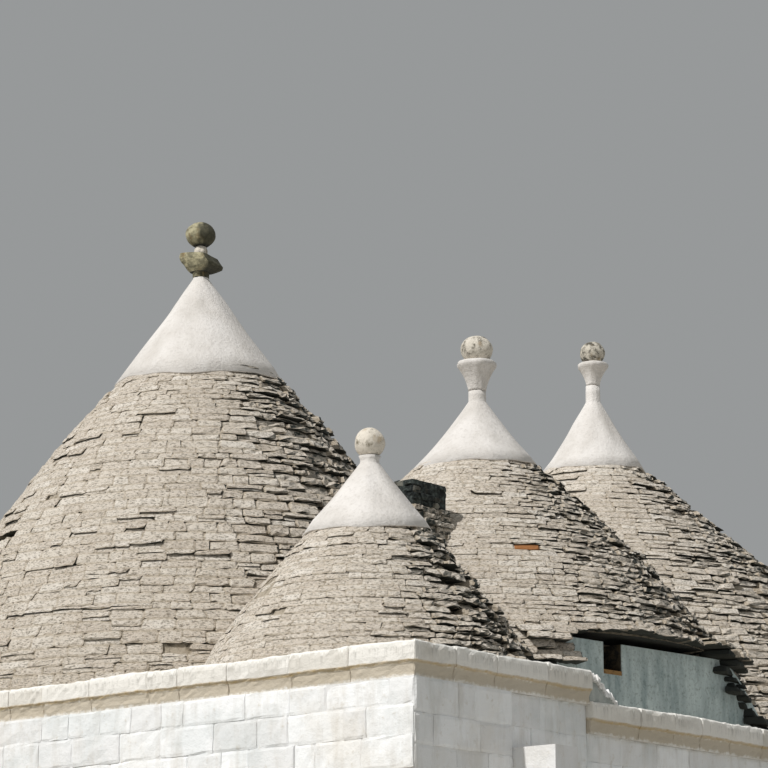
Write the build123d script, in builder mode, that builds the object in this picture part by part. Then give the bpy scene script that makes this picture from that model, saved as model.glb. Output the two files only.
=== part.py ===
# Trullo house: four corbelled stone cones on thick whitewashed masonry walls.
# Millimetres. Plan distances are counted from the front corner of the outer wall faces:
# x runs to the right along the front wall, so places on the house have a negative x,
# and y runs back into the house. Levels are counted from the ground, and the levels of
# the cones from the coping.

import os
from math import cos, hypot, radians, sin, sqrt

from build123d import *

# Outline of the house
front_width = 7600
back_width = 9500
house_depth = 14000
left_step = 7000
annex_width = 1900
annex_wall = 700
wall_recess = 40
recess_start = 1150

# Levels
coping_level = 3500
low_coping_drop = 220
bed_below_coping = 30
annex_roof_below_coping = 50

# Coping section
coping_out = 30
coping_in = 130
coping_face = 150
coping_chamfer = 14
cove_height = 110
cove_lip = 8
cove_belly_out = 6
cove_belly_drop = 33

# Rooms: half the clear width under each dome, and the ledge beside it
great_room = 1700
corner_room = 800
middle_room = 1300
back_room = 2000
room_ledge = 35

# How the masonry that the rooms leave is shared out between the walls
great_left_share = 0.447
corner_right_share = 0.363
middle_right_share = 0.4
back_right_share = 0.523
front_wall_share = 0.28
front_cross_share = 0.154
back_cross_share = 0.123
corner_front_wall = 720
partition_back = 650

# Cones over their slates: the strip left free at the foot, the seat of the white cap and its level.
# The lean is the power by which a flank draws in towards its seat.
great_berm = 176
great_seat = 710
great_seat_level = 3160
great_dome = 2780
corner_berm = 160
corner_seat = 475
corner_seat_level = 1240
corner_dome = 1000
middle_berm = 333
middle_seat = 555
middle_seat_level = 2930
middle_dome = 2480
back_berm = 164
back_seat = 525
back_seat_level = 3670
back_dome = 3230
flank_lean = 1.5
corner_lean = 1.2
flank_parts = 8

# Corbelled domes: their rings of stone and the hole under the top stone
dome_rings = 8
top_stone = 120

# White caps: how far they lap over the slates, their height, the hollow of their flank and their neck
cap_lap = 30
great_neck = 72
great_cap_height = 960
great_cap_hollow = 6
great_neck_height = 15
corner_neck = 72
corner_cap_height = 490
corner_cap_hollow = 8
corner_neck_height = 110
middle_neck = 88
middle_cap_height = 640
middle_cap_hollow = 18
middle_neck_height = 110
back_neck = 82
back_cap_height = 780
back_cap_hollow = 12
back_neck_height = 190

# Flared capitals of the middle and back cones
capital_waist_out = 0.28
capital_waist_up = 0.45
capital_lip = 42
capital_top_inset = 6
middle_capital_rim = 200
middle_capital_height = 300
back_capital_rim = 172
back_capital_height = 260

# The great cone's capital is a flared block on a stem, with a small round stone under the ball
great_stem_height = 45
block_foot = 170
block_rim = 295
block_height = 165
block_lip = 60
block_round = 32
block_turn = 14
seat_stone_radius = 60
seat_stone_height = 95

# Round stones on top: radius, height, and the share of half the height that the flat bed takes off
great_ball = 136
great_ball_height = 226
corner_ball = 124
corner_ball_height = 234
middle_ball = 158
middle_ball_height = 270
back_ball = 134
back_ball_height = 255
ball_bed = 0.14

# Plastered wall that cuts the middle cone off flat under an eave of slates, and its window
drum_facing = -6
drum_face = 2200
drum_thickness = 400
eave_level = 850
light_offset = -520
light_width = 250
light_level = 560
light_sill_thickness = 40

# Doorway, windows and inner arches
door_width = 950
door_spring = 1750
sill_height = 120
window_width = 500
window_height = 620
window_level = 1250
arch_width = 1500
arch_spring = 1500
back_arch_shift = 425
small_arch_width = 850
small_arch_spring = 1650

# Pier on the right wall and rubble chimney between the cones
pier_width = 280
pier_out = 400
pier_height = 2820
chimney_side = 580
chimney_width = 230
chimney_length = 490
chimney_top = 2400
chimney_wall = 70
chimney_foot = 900
flue_depth = 400

# The short ramp where the high coping ends, and the notch of the roof behind it
high_end = 2140
ramp_length = 260
ramp_tip = 20
bed_notch = 430

# Levels worked out from the sizes above
coping_height = coping_face + cove_height
low_coping_level = coping_level - low_coping_drop
wall_top = coping_level - coping_height
low_wall_top = low_coping_level - coping_height
bed_top = coping_level - bed_below_coping
annex_roof_top = low_coping_level - annex_roof_below_coping
annex_ledge = 150
spine_side = -annex_width

# Places of the rooms and walls, worked out from the outline and the shares of masonry
great_half = great_room + room_ledge
corner_half = corner_room + room_ledge
middle_half = middle_room + room_ledge
back_half = back_room + room_ledge
front_masonry = front_width - 2 * great_half - 2 * corner_half
middle_masonry = front_width - annex_width - 2 * middle_half
back_masonry = back_width - annex_width - 2 * back_half
depth_masonry = house_depth - 2 * great_half - 2 * middle_half - 2 * back_half
great_west = front_masonry * great_left_share - front_width
great_east = great_west + 2 * great_half
great_south = depth_masonry * front_wall_share
great_north = great_south + 2 * great_half
corner_east = -front_masonry * corner_right_share
corner_west = corner_east - 2 * corner_half
corner_south = corner_front_wall
corner_north = corner_south + 2 * corner_half
middle_east = spine_side - middle_masonry * middle_right_share
middle_west = middle_east - 2 * middle_half
middle_south = great_north + depth_masonry * front_cross_share
middle_north = middle_south + 2 * middle_half
back_east = spine_side - back_masonry * back_right_share
back_west = back_east - 2 * back_half
back_south = middle_north + depth_masonry * back_cross_share
back_north = back_south + 2 * back_half
annex_south = corner_north + partition_back
front_bed_end = (great_north + middle_south) / 2
middle_bed_end = (middle_north + back_south) / 2
corner_bed_side = (great_east + corner_west) / 2
great_x = great_west + great_half
great_y = great_south + great_half
corner_x = corner_west + corner_half
corner_y = corner_south + corner_half
middle_x = middle_west + middle_half
middle_y = middle_south + middle_half
back_x = back_west + back_half
back_y = back_south + back_half

# The origin is on the ground, in the middle of the whole house
house = Plane(origin=((back_width + coping_out - pier_out) / 2, -house_depth / 2, 0))

os.makedirs("parts", exist_ok=True)


def write(name, piece):
    """Labels a finished piece and writes it as its own node."""
    piece.part.label = name
    export_step(piece.part, "parts/" + name + ".step")


def block(corners, base, top):
    """A wall or slab with a polygon plan, standing from base to top."""
    with BuildPart() as piece:
        with BuildSketch(house.offset(base)):
            with BuildLine():
                Polyline(*corners, close=True)
            make_face()
        extrude(amount=top - base)
    return piece


def rectangle(west, east, south, north):
    """The corners of a rectangular plan."""
    return [(west, south), (east, south), (east, north), (west, north)]


def upright(x, y, level):
    """A vertical plane facing the front, with its origin at a plan place and level."""
    return Plane(origin=house.from_local_coords((x, y, level)), x_dir=(1, 0, 0), z_dir=(0, -1, 0))


def axis_at(x, y):
    """The vertical axis over a plan place."""
    return Axis(house.from_local_coords((x, y, 0)), (0, 0, 1))


def arch_hole(x, y, width, spring, length, across):
    """A round-headed passage. It runs back from (x, y), or to the right where across is set."""
    start = house.from_local_coords((x, y, 0))
    if across:
        face = Plane(origin=start, x_dir=(0, 1, 0), z_dir=(1, 0, 0))
    else:
        face = Plane(origin=start, x_dir=(-1, 0, 0), z_dir=(0, 1, 0))
    with BuildPart() as hole:
        with BuildSketch(face):
            with BuildLine():
                Polyline((width / 2, spring), (width / 2, -1), (-width / 2, -1), (-width / 2, spring))
                ThreePointArc((-width / 2, spring), (0, spring + width / 2), (width / 2, spring))
            make_face()
        extrude(amount=length)
    return hole


def nearest_face(x, y):
    """Distance from a plan place to the nearest outer wall face, or to the inner corner of the left step."""
    to_left = hypot(front_width + x, max(0, y - left_step))
    return min(y, house_depth - y, -x, back_width + x, to_left)


def flank(foot, seat, base, level, lean, parts):
    """Points up a flank that rises steeply from its foot and leans in more and more."""
    points = []
    for part in range(parts + 1):
        share = part / parts
        points.append((foot + (seat - foot) * share ** lean, base + (level - base) * share))
    return points


def cone_body(x, y, berm, seat, level, lean):
    """The whole body of a cone out to the faces of its slates, from the roof bed to the seat of its cap."""
    base = -bed_below_coping
    foot = nearest_face(x, y) - berm
    side = flank(foot, seat, base, level, lean, flank_parts)
    with BuildPart() as body:
        with BuildSketch(upright(x, y, coping_level)):
            with BuildLine():
                Polyline((0, base), *side, (0, level), close=True)
            make_face()
        revolve(axis=axis_at(x, y))
    return body


def dome_space(x, y, room, height):
    """The pointed space under a corbelled dome: rings of stone that each lean in over the last."""
    base = -bed_below_coping
    curve = flank(room, top_stone, base, base + height, flank_lean, dome_rings)
    steps = []
    for lower, upper in zip(curve, curve[1:]):
        steps.append(lower)
        steps.append((lower[0], upper[1]))
    with BuildPart() as space:
        with BuildSketch(upright(x, y, coping_level)):
            with BuildLine():
                Polyline((0, base), *steps, (0, base + height), close=True)
            make_face()
        revolve(axis=axis_at(x, y))
    return space


def white_cap(name, x, y, seat, level, neck, height, hollow, neck_height):
    """The plastered cap with its slightly hollow flank and its neck."""
    foot = seat + cap_lap
    middle = ((foot + neck) / 2 - hollow, height / 2 - hollow * (foot - neck) / height)
    with BuildPart() as cap:
        with BuildSketch(upright(x, y, coping_level + level)):
            with BuildLine():
                Line((0, 0), (foot, 0))
                ThreePointArc((foot, 0), middle, (neck, height))
                Polyline((neck, height), (neck, height + neck_height), (0, height + neck_height), (0, 0))
            make_face()
        revolve(axis=axis_at(x, y))
    write(name, cap)
    return level + height + neck_height


def capital(name, x, y, level, neck, rim, height):
    """The flared stone on a neck, with an upright lip."""
    waist = (neck + (rim - neck) * capital_waist_out, height * capital_waist_up)
    with BuildPart() as stone:
        with BuildSketch(upright(x, y, coping_level + level)):
            with BuildLine():
                Line((0, 0), (neck, 0))
                ThreePointArc((neck, 0), waist, (rim, height - capital_lip))
                Polyline((rim, height - capital_lip), (rim - capital_top_inset, height), (0, height), (0, 0))
            make_face()
        revolve(axis=axis_at(x, y))
    write(name, stone)
    return level + height


def ball(name, x, y, level, radius, height):
    """A round stone, flatter than a sphere, with a flat bed under it."""
    half_height = height / (2 - ball_bed)
    bed_share = sqrt(ball_bed * (2 - ball_bed))
    bed_slope = (radius * (1 - ball_bed), half_height * bed_share)
    with BuildPart() as stone:
        with BuildSketch(upright(x, y, coping_level + level)):
            with BuildLine():
                Polyline((0, height), (0, 0), (radius * bed_share, 0))
                Spline((radius * bed_share, 0), (radius, height - half_height), (0, height),
                       tangents=[bed_slope, (-1, 0)])
            make_face()
        revolve(axis=axis_at(x, y))
    write(name, stone)


def coping(name, start, end, level, start_mitre, end_mitre):
    """A coping stone run with a cove under it. The outside is on its right.
    A mitre is 1 at an outer corner, -1 at an inner corner and 0 at a square end."""
    run = Vector(*end) - Vector(*start)
    length = run.length
    along = run.normalized()
    outward = Vector(along.Y, -along.X, 0)
    tail = house.from_local_coords((end[0], end[1], level)) + along * (2 * coping_in)
    with BuildPart() as piece:
        with BuildSketch(Plane(origin=tail, x_dir=outward, z_dir=along * -1)):
            with BuildLine():
                Polyline((0, -coping_height), (-coping_in, -coping_height), (-coping_in, 0),
                         (coping_out - coping_chamfer, 0), (coping_out, -coping_chamfer),
                         (coping_out, -coping_face), (coping_out - cove_lip, -coping_face))
                ThreePointArc((coping_out - cove_lip, -coping_face),
                              (cove_belly_out, -coping_face - cove_belly_drop), (0, -coping_height))
            make_face()
        extrude(amount=length + 4 * coping_in)
        plan = Plane(origin=house.from_local_coords((start[0], start[1], level)), x_dir=along, z_dir=(0, 0, 1))
        with BuildSketch(plan):
            with BuildLine():
                Polyline((-start_mitre * coping_out, -coping_out),
                         (length + end_mitre * coping_out, -coping_out),
                         (length - end_mitre * coping_in, coping_in),
                         (start_mitre * coping_in, coping_in), close=True)
            make_face()
        extrude(amount=-coping_height, mode=Mode.INTERSECT)
    write(name, piece)


# The four cones as whole bodies, and the spaces under their domes
great_body = cone_body(great_x, great_y, great_berm, great_seat, great_seat_level, flank_lean)
corner_body = cone_body(corner_x, corner_y, corner_berm, corner_seat, corner_seat_level, corner_lean)
middle_body = cone_body(middle_x, middle_y, middle_berm, middle_seat, middle_seat_level, flank_lean)
back_body = cone_body(back_x, back_y, back_berm, back_seat, back_seat_level, flank_lean)
great_space = dome_space(great_x, great_y, great_room, great_dome)
corner_space = dome_space(corner_x, corner_y, corner_room, corner_dome)
middle_space = dome_space(middle_x, middle_y, middle_room, middle_dome)
back_space = dome_space(back_x, back_y, back_room, back_dome)

# Plan of the wall that cuts the middle cone off: x points out of the wall and y back along it
drum_plan = Plane(origin=house.from_local_coords((middle_x, middle_y, bed_top)),
                  x_dir=(cos(radians(drum_facing)), sin(radians(drum_facing)), 0), z_dir=(0, 0, 1))
drum_back = drum_face - drum_thickness
drum_reach = 2 * (nearest_face(middle_x, middle_y) - middle_berm)
drum_height = eave_level + bed_below_coping

# Everything of the middle cone from the back of that wall outwards, up to the eave
with BuildPart() as drum_room:
    with BuildSketch(drum_plan):
        with Locations((drum_back, 0)):
            Rectangle(drum_reach, 2 * drum_reach, align=(Align.MIN, Align.CENTER))
    extrude(amount=drum_height)

# The small window, which runs out from the dome and up to the eave
with BuildPart() as light_hole:
    with BuildSketch(drum_plan.offset(light_level + bed_below_coping)):
        with Locations((0, light_offset)):
            Rectangle(drum_reach, light_width, align=(Align.MIN, Align.CENTER))
    extrude(amount=eave_level - light_level)

# Shells of the cones, each cut where it runs into its neighbours
with BuildPart() as great_cone:
    add(great_body.part)
    for space in (great_space, corner_space, middle_space):
        add(space.part, mode=Mode.SUBTRACT)
write("great_cone", great_cone)

with BuildPart() as corner_cone:
    add(corner_body.part)
    add(great_body.part, mode=Mode.SUBTRACT)
    add(corner_space.part, mode=Mode.SUBTRACT)
write("corner_cone", corner_cone)

with BuildPart() as middle_cone:
    add(middle_body.part)
    add(great_body.part, mode=Mode.SUBTRACT)
    for space in (middle_space, back_space, drum_room, light_hole):
        add(space.part, mode=Mode.SUBTRACT)
write("middle_cone", middle_cone)

with BuildPart() as back_cone:
    add(back_body.part)
    add(middle_body.part, mode=Mode.SUBTRACT)
    add(back_space.part, mode=Mode.SUBTRACT)
write("back_cone", back_cone)

# The plastered wall on the roof, with the window and its sill
with BuildPart() as middle_drum:
    add(middle_body.part)
    with BuildSketch(drum_plan):
        with Locations((drum_back, 0)):
            Rectangle(drum_thickness, 2 * drum_reach, align=(Align.MIN, Align.CENTER))
    extrude(amount=drum_height, mode=Mode.INTERSECT)
    add(great_body.part, mode=Mode.SUBTRACT)
    add(light_hole.part, mode=Mode.SUBTRACT)
write("middle_drum", middle_drum)

with BuildPart() as drum_window_sill:
    with BuildSketch(drum_plan.offset(light_level + bed_below_coping)):
        with Locations((drum_back, light_offset)):
            Rectangle(drum_thickness, light_width, align=(Align.MIN, Align.CENTER))
    extrude(amount=light_sill_thickness)
write("drum_window_sill", drum_window_sill)

# White caps, with the flared capitals of the middle and back cones
great_top = white_cap("great_cap", great_x, great_y, great_seat, great_seat_level,
                      great_neck, great_cap_height, great_cap_hollow, great_neck_height)
corner_top = white_cap("corner_cap", corner_x, corner_y, corner_seat, corner_seat_level,
                       corner_neck, corner_cap_height, corner_cap_hollow, corner_neck_height)
middle_top = white_cap("middle_cap", middle_x, middle_y, middle_seat, middle_seat_level,
                       middle_neck, middle_cap_height, middle_cap_hollow, middle_neck_height)
back_top = white_cap("back_cap", back_x, back_y, back_seat, back_seat_level,
                     back_neck, back_cap_height, back_cap_hollow, back_neck_height)
middle_top = capital("middle_capital", middle_x, middle_y, middle_top, middle_neck,
                     middle_capital_rim, middle_capital_height)
back_top = capital("back_capital", back_x, back_y, back_top, back_neck, back_capital_rim,
                   back_capital_height)

# The great cone's block on its stem, flared up to an upright lip, and the small stone on it
block_plan = Plane(origin=house.from_local_coords((great_x, great_y, coping_level + great_top)),
                   x_dir=(cos(radians(block_turn)), sin(radians(block_turn)), 0), z_dir=(0, 0, 1))
lip_level = great_stem_height + block_height - block_lip
with BuildPart() as great_capital:
    with BuildSketch(block_plan):
        Circle(great_neck)
    extrude(amount=great_stem_height)
    with BuildSketch(block_plan.offset(great_stem_height)):
        RectangleRounded(block_foot, block_foot, block_round)
    with BuildSketch(block_plan.offset(lip_level)):
        RectangleRounded(block_rim, block_rim, block_round)
    loft()
    with BuildSketch(block_plan.offset(lip_level)):
        RectangleRounded(block_rim, block_rim, block_round)
    extrude(amount=block_lip)
write("great_capital", great_capital)

with BuildPart() as great_seat_stone:
    with BuildSketch(block_plan.offset(great_stem_height + block_height)):
        Circle(seat_stone_radius)
    extrude(amount=seat_stone_height)
write("great_seat_stone", great_seat_stone)

great_top += great_stem_height + block_height + seat_stone_height
ball("great_ball", great_x, great_y, great_top, great_ball, great_ball_height)
ball("corner_ball", corner_x, corner_y, corner_top, corner_ball, corner_ball_height)
ball("middle_ball", middle_x, middle_y, middle_top, middle_ball, middle_ball_height)
ball("back_ball", back_x, back_y, back_top, back_ball, back_ball_height)

# Rubble chimney in the valley between the cones, with its flue
chimney_x = middle_x + chimney_side
with BuildPart() as chimney:
    with BuildSketch(house.offset(coping_level + chimney_foot)):
        with Locations((chimney_x, front_bed_end)):
            Rectangle(chimney_width, chimney_length)
    extrude(amount=chimney_top - chimney_foot)
    add(great_body.part, mode=Mode.SUBTRACT)
    add(middle_body.part, mode=Mode.SUBTRACT)
    with BuildSketch(house.offset(coping_level + chimney_top)):
        with Locations((chimney_x, front_bed_end)):
            Rectangle(chimney_width - 2 * chimney_wall, chimney_length - 2 * chimney_wall)
    extrude(amount=-flue_depth, mode=Mode.SUBTRACT)
write("chimney", chimney)

# Front wall, split at its doorway
door_west = great_x - door_width / 2
door_east = great_x + door_width / 2
write("front_wall_left", block(rectangle(-front_width, door_west, 0, great_south), 0, wall_top))
write("front_wall_right", block([(door_east, 0), (0, 0), (0, corner_south), (great_east, corner_south),
                                 (great_east, great_south), (door_east, great_south)], 0, wall_top))
write("door_sill", block(rectangle(door_west, door_east, 0, great_south), 0, sill_height))

with BuildPart() as door_arch:
    add(block(rectangle(door_west, door_east, 0, great_south), door_spring, wall_top).part)
    add(arch_hole(great_x, 0, door_width, door_spring, great_south, False).part, mode=Mode.SUBTRACT)
write("door_arch", door_arch)


def wall_with_window(corners, x, y, across, length):
    """An outer wall with one small rectangular window through it."""
    middle = house.from_local_coords((x, y, window_level))
    if across:
        face = Plane(origin=middle, x_dir=(0, 1, 0), z_dir=(1, 0, 0))
    else:
        face = Plane(origin=middle, x_dir=(-1, 0, 0), z_dir=(0, 1, 0))
    with BuildPart() as piece:
        add(block(corners, 0, wall_top).part)
        with BuildSketch(face):
            Rectangle(window_width, window_height, align=(Align.CENTER, Align.MIN))
        extrude(amount=length, mode=Mode.SUBTRACT)
    return piece


write("left_wall_front", wall_with_window([(-front_width, great_south), (great_west, great_south),
                                     (great_west, middle_south), (middle_west, middle_south),
                                     (middle_west, left_step), (-front_width, left_step)],
                                    -front_width, great_y, True, front_width + great_west))
write("left_return_wall", block([(-back_width, left_step), (middle_west, left_step), (middle_west, middle_north),
                                 (back_west, middle_north), (back_west, back_south), (-back_width, back_south)],
                                0, wall_top))
write("left_wall_back", wall_with_window(rectangle(-back_width, back_west, back_south, back_north),
                                         -back_width, back_y, True, back_width + back_west))

# The walls beside the annex leave a ledge for its roof slab
annex_seat = block(rectangle(spine_side - annex_ledge, spine_side, annex_south, house_depth), low_wall_top, wall_top)
with BuildPart() as back_wall:
    add(wall_with_window(rectangle(-back_width, spine_side, back_north, house_depth),
                         back_x, back_north, False, house_depth - back_north).part)
    add(annex_seat.part, mode=Mode.SUBTRACT)
write("back_wall", back_wall)

# Right wall: high over the corner room, low along the annex
with BuildPart() as right_wall_front:
    add(block([(corner_east, corner_south), (0, corner_south), (0, recess_start), (-wall_recess, recess_start),
               (-wall_recess, annex_south), (-annex_wall, annex_south), (-annex_wall, corner_north),
               (corner_east, corner_north)], 0, wall_top).part)
    add(block(rectangle(-coping_in, 0, high_end, annex_south), low_wall_top, wall_top).part,
        mode=Mode.SUBTRACT)
write("right_wall_front", right_wall_front)
write("right_wall_back", block(rectangle(-annex_wall, -wall_recess, annex_south, house_depth - annex_wall),
                               0, low_wall_top))
write("annex_end_wall", block(rectangle(spine_side, -wall_recess, house_depth - annex_wall, house_depth),
                              0, low_wall_top))

# Inner walls that carry the cones, with arches between the rooms
with BuildPart() as cross_wall_front:
    add(block(rectangle(great_west, corner_west, great_north, middle_south), 0, wall_top).part)
    add(arch_hole(middle_x, great_north, arch_width, arch_spring, middle_south - great_north, False).part,
        mode=Mode.SUBTRACT)
write("cross_wall_front", cross_wall_front)

with BuildPart() as cross_wall_corner:
    add(block(rectangle(great_east, corner_west, corner_south, great_north), 0, wall_top).part)
    add(arch_hole(great_east, corner_y, small_arch_width, small_arch_spring, corner_west - great_east, True).part,
        mode=Mode.SUBTRACT)
write("cross_wall_corner", cross_wall_corner)

with BuildPart() as corner_back_wall:
    add(block(rectangle(corner_west, -annex_wall, corner_north, annex_south), 0, wall_top).part)
    add(arch_hole((spine_side - annex_wall) / 2, corner_north, small_arch_width, small_arch_spring,
                  partition_back, False).part, mode=Mode.SUBTRACT)
write("corner_back_wall", corner_back_wall)

with BuildPart() as cross_wall_back:
    add(block(rectangle(back_west, middle_east, middle_north, back_south), 0, wall_top).part)
    add(arch_hole(middle_x - back_arch_shift, middle_north, arch_width, arch_spring,
                  back_south - middle_north, False).part, mode=Mode.SUBTRACT)
write("cross_wall_back", cross_wall_back)

with BuildPart() as spine_wall:
    add(block([(corner_west, annex_south), (spine_side, annex_south), (spine_side, back_south),
               (middle_east, back_south), (middle_east, middle_south), (corner_west, middle_south)],
              0, wall_top).part)
    add(annex_seat.part, mode=Mode.SUBTRACT)
    add(arch_hole(middle_east, middle_y, small_arch_width, small_arch_spring, spine_side - middle_east, True).part,
        mode=Mode.SUBTRACT)
write("spine_wall", spine_wall)

with BuildPart() as spine_wall_back:
    add(block(rectangle(back_east, spine_side, back_south, back_north), 0, wall_top).part)
    add(annex_seat.part, mode=Mode.SUBTRACT)
write("spine_wall_back", spine_wall_back)


def roof_bed(name, corners, x, y, room):
    """A slab on the walls with the round opening of one dome."""
    with BuildPart() as bed:
        add(block(corners, wall_top, bed_top).part)
        with BuildSketch(house.offset(wall_top)):
            with Locations((x, y)):
                Circle(room)
        extrude(amount=bed_top - wall_top, mode=Mode.SUBTRACT)
    write(name, bed)


inner_left = coping_in - front_width
inner_back_left = coping_in - back_width
roof_bed("great_roof_bed", [(inner_left, coping_in), (corner_bed_side, coping_in), (corner_bed_side, annex_south),
                            (spine_side, annex_south), (spine_side, front_bed_end),
                            (inner_left, front_bed_end)], great_x, great_y, great_room)
roof_bed("corner_roof_bed", [(corner_bed_side, coping_in), (-coping_in, coping_in), (-coping_in, high_end),
                             (-bed_notch, high_end), (-annex_wall, annex_south), (corner_bed_side, annex_south)],
         corner_x, corner_y, corner_room)
roof_bed("middle_roof_bed", [(inner_left, front_bed_end), (spine_side, front_bed_end),
                             (spine_side, middle_bed_end), (inner_back_left, middle_bed_end),
                             (inner_back_left, left_step + coping_in), (inner_left, left_step + coping_in)],
         middle_x, middle_y, middle_room)
roof_bed("back_roof_bed", rectangle(inner_back_left, spine_side, middle_bed_end, house_depth - coping_in),
         back_x, back_y, back_room)
write("annex_roof", block(rectangle(spine_side - annex_ledge, -coping_in, annex_south, house_depth - coping_in),
                          low_wall_top, annex_roof_top))

# Copings, run round the house with the outside on their right
coping("front_coping", (-front_width, 0), (0, 0), coping_level, 1, 1)
coping("right_coping", (0, 0), (0, high_end), coping_level, 1, 0)
coping("annex_coping", (0, high_end), (0, house_depth), low_coping_level, 0, 1)
coping("annex_end_coping", (0, house_depth), (spine_side, house_depth), low_coping_level, 1, 0)
coping("back_coping", (spine_side, house_depth), (-back_width, house_depth), coping_level, 0, 1)
coping("left_coping_back", (-back_width, house_depth), (-back_width, left_step), coping_level, 1, 1)
coping("left_coping_step", (-back_width, left_step), (-front_width, left_step), coping_level, 1, -1)
coping("left_coping_front", (-front_width, left_step), (-front_width, 0), coping_level, -1, 1)

# The ramp of stone from the end of the high coping down to the low one
with BuildPart() as coping_ramp:
    with BuildSketch(Plane(origin=house.from_local_coords((0, high_end, low_coping_level)),
                           x_dir=(0, 1, 0), z_dir=(1, 0, 0))):
        with BuildLine():
            Polyline((0, 0), (ramp_length, 0), (ramp_length, ramp_tip), (0, low_coping_drop), close=True)
        make_face()
    extrude(amount=-coping_in)
write("coping_ramp", coping_ramp)

# The low pier that stands against the right wall
write("pier", block(rectangle(-wall_recess, pier_out, recess_start, recess_start + pier_width), 0, pier_height))
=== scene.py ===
import math

import bpy
import numpy as np
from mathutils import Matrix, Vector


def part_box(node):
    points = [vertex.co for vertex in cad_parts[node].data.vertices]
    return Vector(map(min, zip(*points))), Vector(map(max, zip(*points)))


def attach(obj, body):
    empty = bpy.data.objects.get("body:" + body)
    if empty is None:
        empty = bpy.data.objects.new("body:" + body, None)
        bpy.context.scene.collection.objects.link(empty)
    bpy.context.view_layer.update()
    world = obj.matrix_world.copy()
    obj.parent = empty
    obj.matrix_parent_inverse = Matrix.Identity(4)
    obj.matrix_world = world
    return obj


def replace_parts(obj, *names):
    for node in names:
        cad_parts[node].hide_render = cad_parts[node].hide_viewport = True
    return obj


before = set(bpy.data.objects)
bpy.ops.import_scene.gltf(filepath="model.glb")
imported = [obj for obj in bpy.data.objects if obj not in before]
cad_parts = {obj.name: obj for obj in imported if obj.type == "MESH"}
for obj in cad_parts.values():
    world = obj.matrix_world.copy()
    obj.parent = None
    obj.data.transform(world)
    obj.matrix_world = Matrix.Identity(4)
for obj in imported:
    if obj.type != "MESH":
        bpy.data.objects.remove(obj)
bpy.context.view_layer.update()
print("frame loaded")


# The lowest and highest corner of a frame node
def boxOf(node):
    low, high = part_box(node)
    return np.array(low, float), np.array(high, float)


cornerX = boxOf("right_wall_front")[1][0]
cornerY = boxOf("front_wall_right")[0][1]
copingLevel = boxOf("front_coping")[1][2]
wallTop = boxOf("front_wall_right")[1][2]
lowWallTop = boxOf("annex_end_wall")[1][2]
lowCopingLevel = boxOf("annex_coping")[1][2]
bedLevel = boxOf("great_roof_bed")[1][2]
frontWidth = cornerX - boxOf("front_wall_left")[0][0]
backWidth = cornerX - boxOf("left_wall_back")[0][0]
annexWidth = cornerX - boxOf("annex_end_wall")[0][0]
houseDepth = boxOf("annex_end_wall")[1][1] - cornerY
leftStep = boxOf("left_return_wall")[0][1] - cornerY
highEnd = boxOf("right_coping")[1][1] - cornerY
# Corners of the outer walls, round the house from the left end of the front wall
plan = [(-frontWidth, 0), (0, 0), (0, highEnd), (0, houseDepth), (-annexWidth, houseDepth),
        (-backWidth, houseDepth), (-backWidth, leftStep), (-frontWidth, leftStep)]


# Camera

view = {
    "azimuth": 39.834,  # degrees from the frame's +Y, towards -X
    "pitch": 13.462,  # degrees above level
    "focalPixels": 3000.0,
    "framePixels": 768.0,
    "cornerDistance": 21.4286,  # metres to the corner along the level view direction
    "sideShift": -0.2152,
    "belowCoping": 3.2408,
    "sensorMillimetres": 36.0,
    "farthest": 400,
}
viewAzimuth = math.radians(view["azimuth"])
viewForward = np.array([-math.sin(viewAzimuth), math.cos(viewAzimuth), 0])
viewRight = np.array([math.cos(viewAzimuth), math.sin(viewAzimuth), 0])
towardsCamera = math.atan2(-viewForward[1], -viewForward[0])


def makeCamera():
    place = np.array([cornerX, cornerY, copingLevel - view["belowCoping"]])
    place = place - viewForward * view["cornerDistance"] + viewRight * view["sideShift"]
    data = bpy.data.cameras.new("photoCamera")
    data.sensor_width = view["sensorMillimetres"]
    data.lens = view["sensorMillimetres"] * view["focalPixels"] / view["framePixels"]
    data.clip_end = view["farthest"]
    camera = bpy.data.objects.new("photoCamera", data)
    camera.location = place
    camera.rotation_euler = (math.radians(90 + view["pitch"]), 0, viewAzimuth)
    bpy.context.collection.objects.link(camera)
    bpy.context.scene.camera = camera


makeCamera()
print("camera placed")


# Materials

# sRGB hex to linear red, green, blue and alpha
def colour(hexText):
    values = np.array([int(hexText[i:i + 2], 16) for i in (1, 3, 5)]) / 255
    linear = np.where(values <= 0.04045, values / 12.92, ((values + 0.055) / 1.055) ** 2.4)
    return (*[float(v) for v in linear], 1.0)


# Adds one node. inputs maps a socket's name or number to a value, or to another node's output
def addNode(tree, kind, settings=None, inputs=None):
    node = tree.nodes.new(kind)
    for key, value in (settings or {}).items():
        setattr(node, key, value)
    for key, value in (inputs or {}).items():
        if isinstance(value, bpy.types.NodeSocket):
            tree.links.new(value, node.inputs[key])
        else:
            node.inputs[key].default_value = value
    return node


# A colour ramp with stops of place and hex colour
def ramp(tree, source, stops):
    node = addNode(tree, "ShaderNodeValToRGB", {}, {"Fac": source})
    elements = node.color_ramp.elements
    while len(elements) < len(stops):
        elements.new(0.5)
    for element, (place, tone) in zip(elements, stops):
        element.position = place
        element.color = colour(tone)
    return node.outputs["Color"]


# Mixes two colours, given as hex texts or sockets
def mixed(tree, amount, first, second):
    first = colour(first) if isinstance(first, str) else first
    second = colour(second) if isinstance(second, str) else second
    node = addNode(tree, "ShaderNodeMix", {"data_type": "RGBA"}, {0: amount, 6: first, 7: second})
    return node.outputs[2]


# Noise whose blobs are about size metres across
def noise(tree, place, size, detail, roughness):
    inputs = {"Vector": place, "Scale": 1 / size, "Detail": detail, "Roughness": roughness}
    return addNode(tree, "ShaderNodeTexNoise", {}, inputs).outputs["Fac"]


def noises(tree, place, *each):
    return [noise(tree, place, *values) for values in each]


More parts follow.
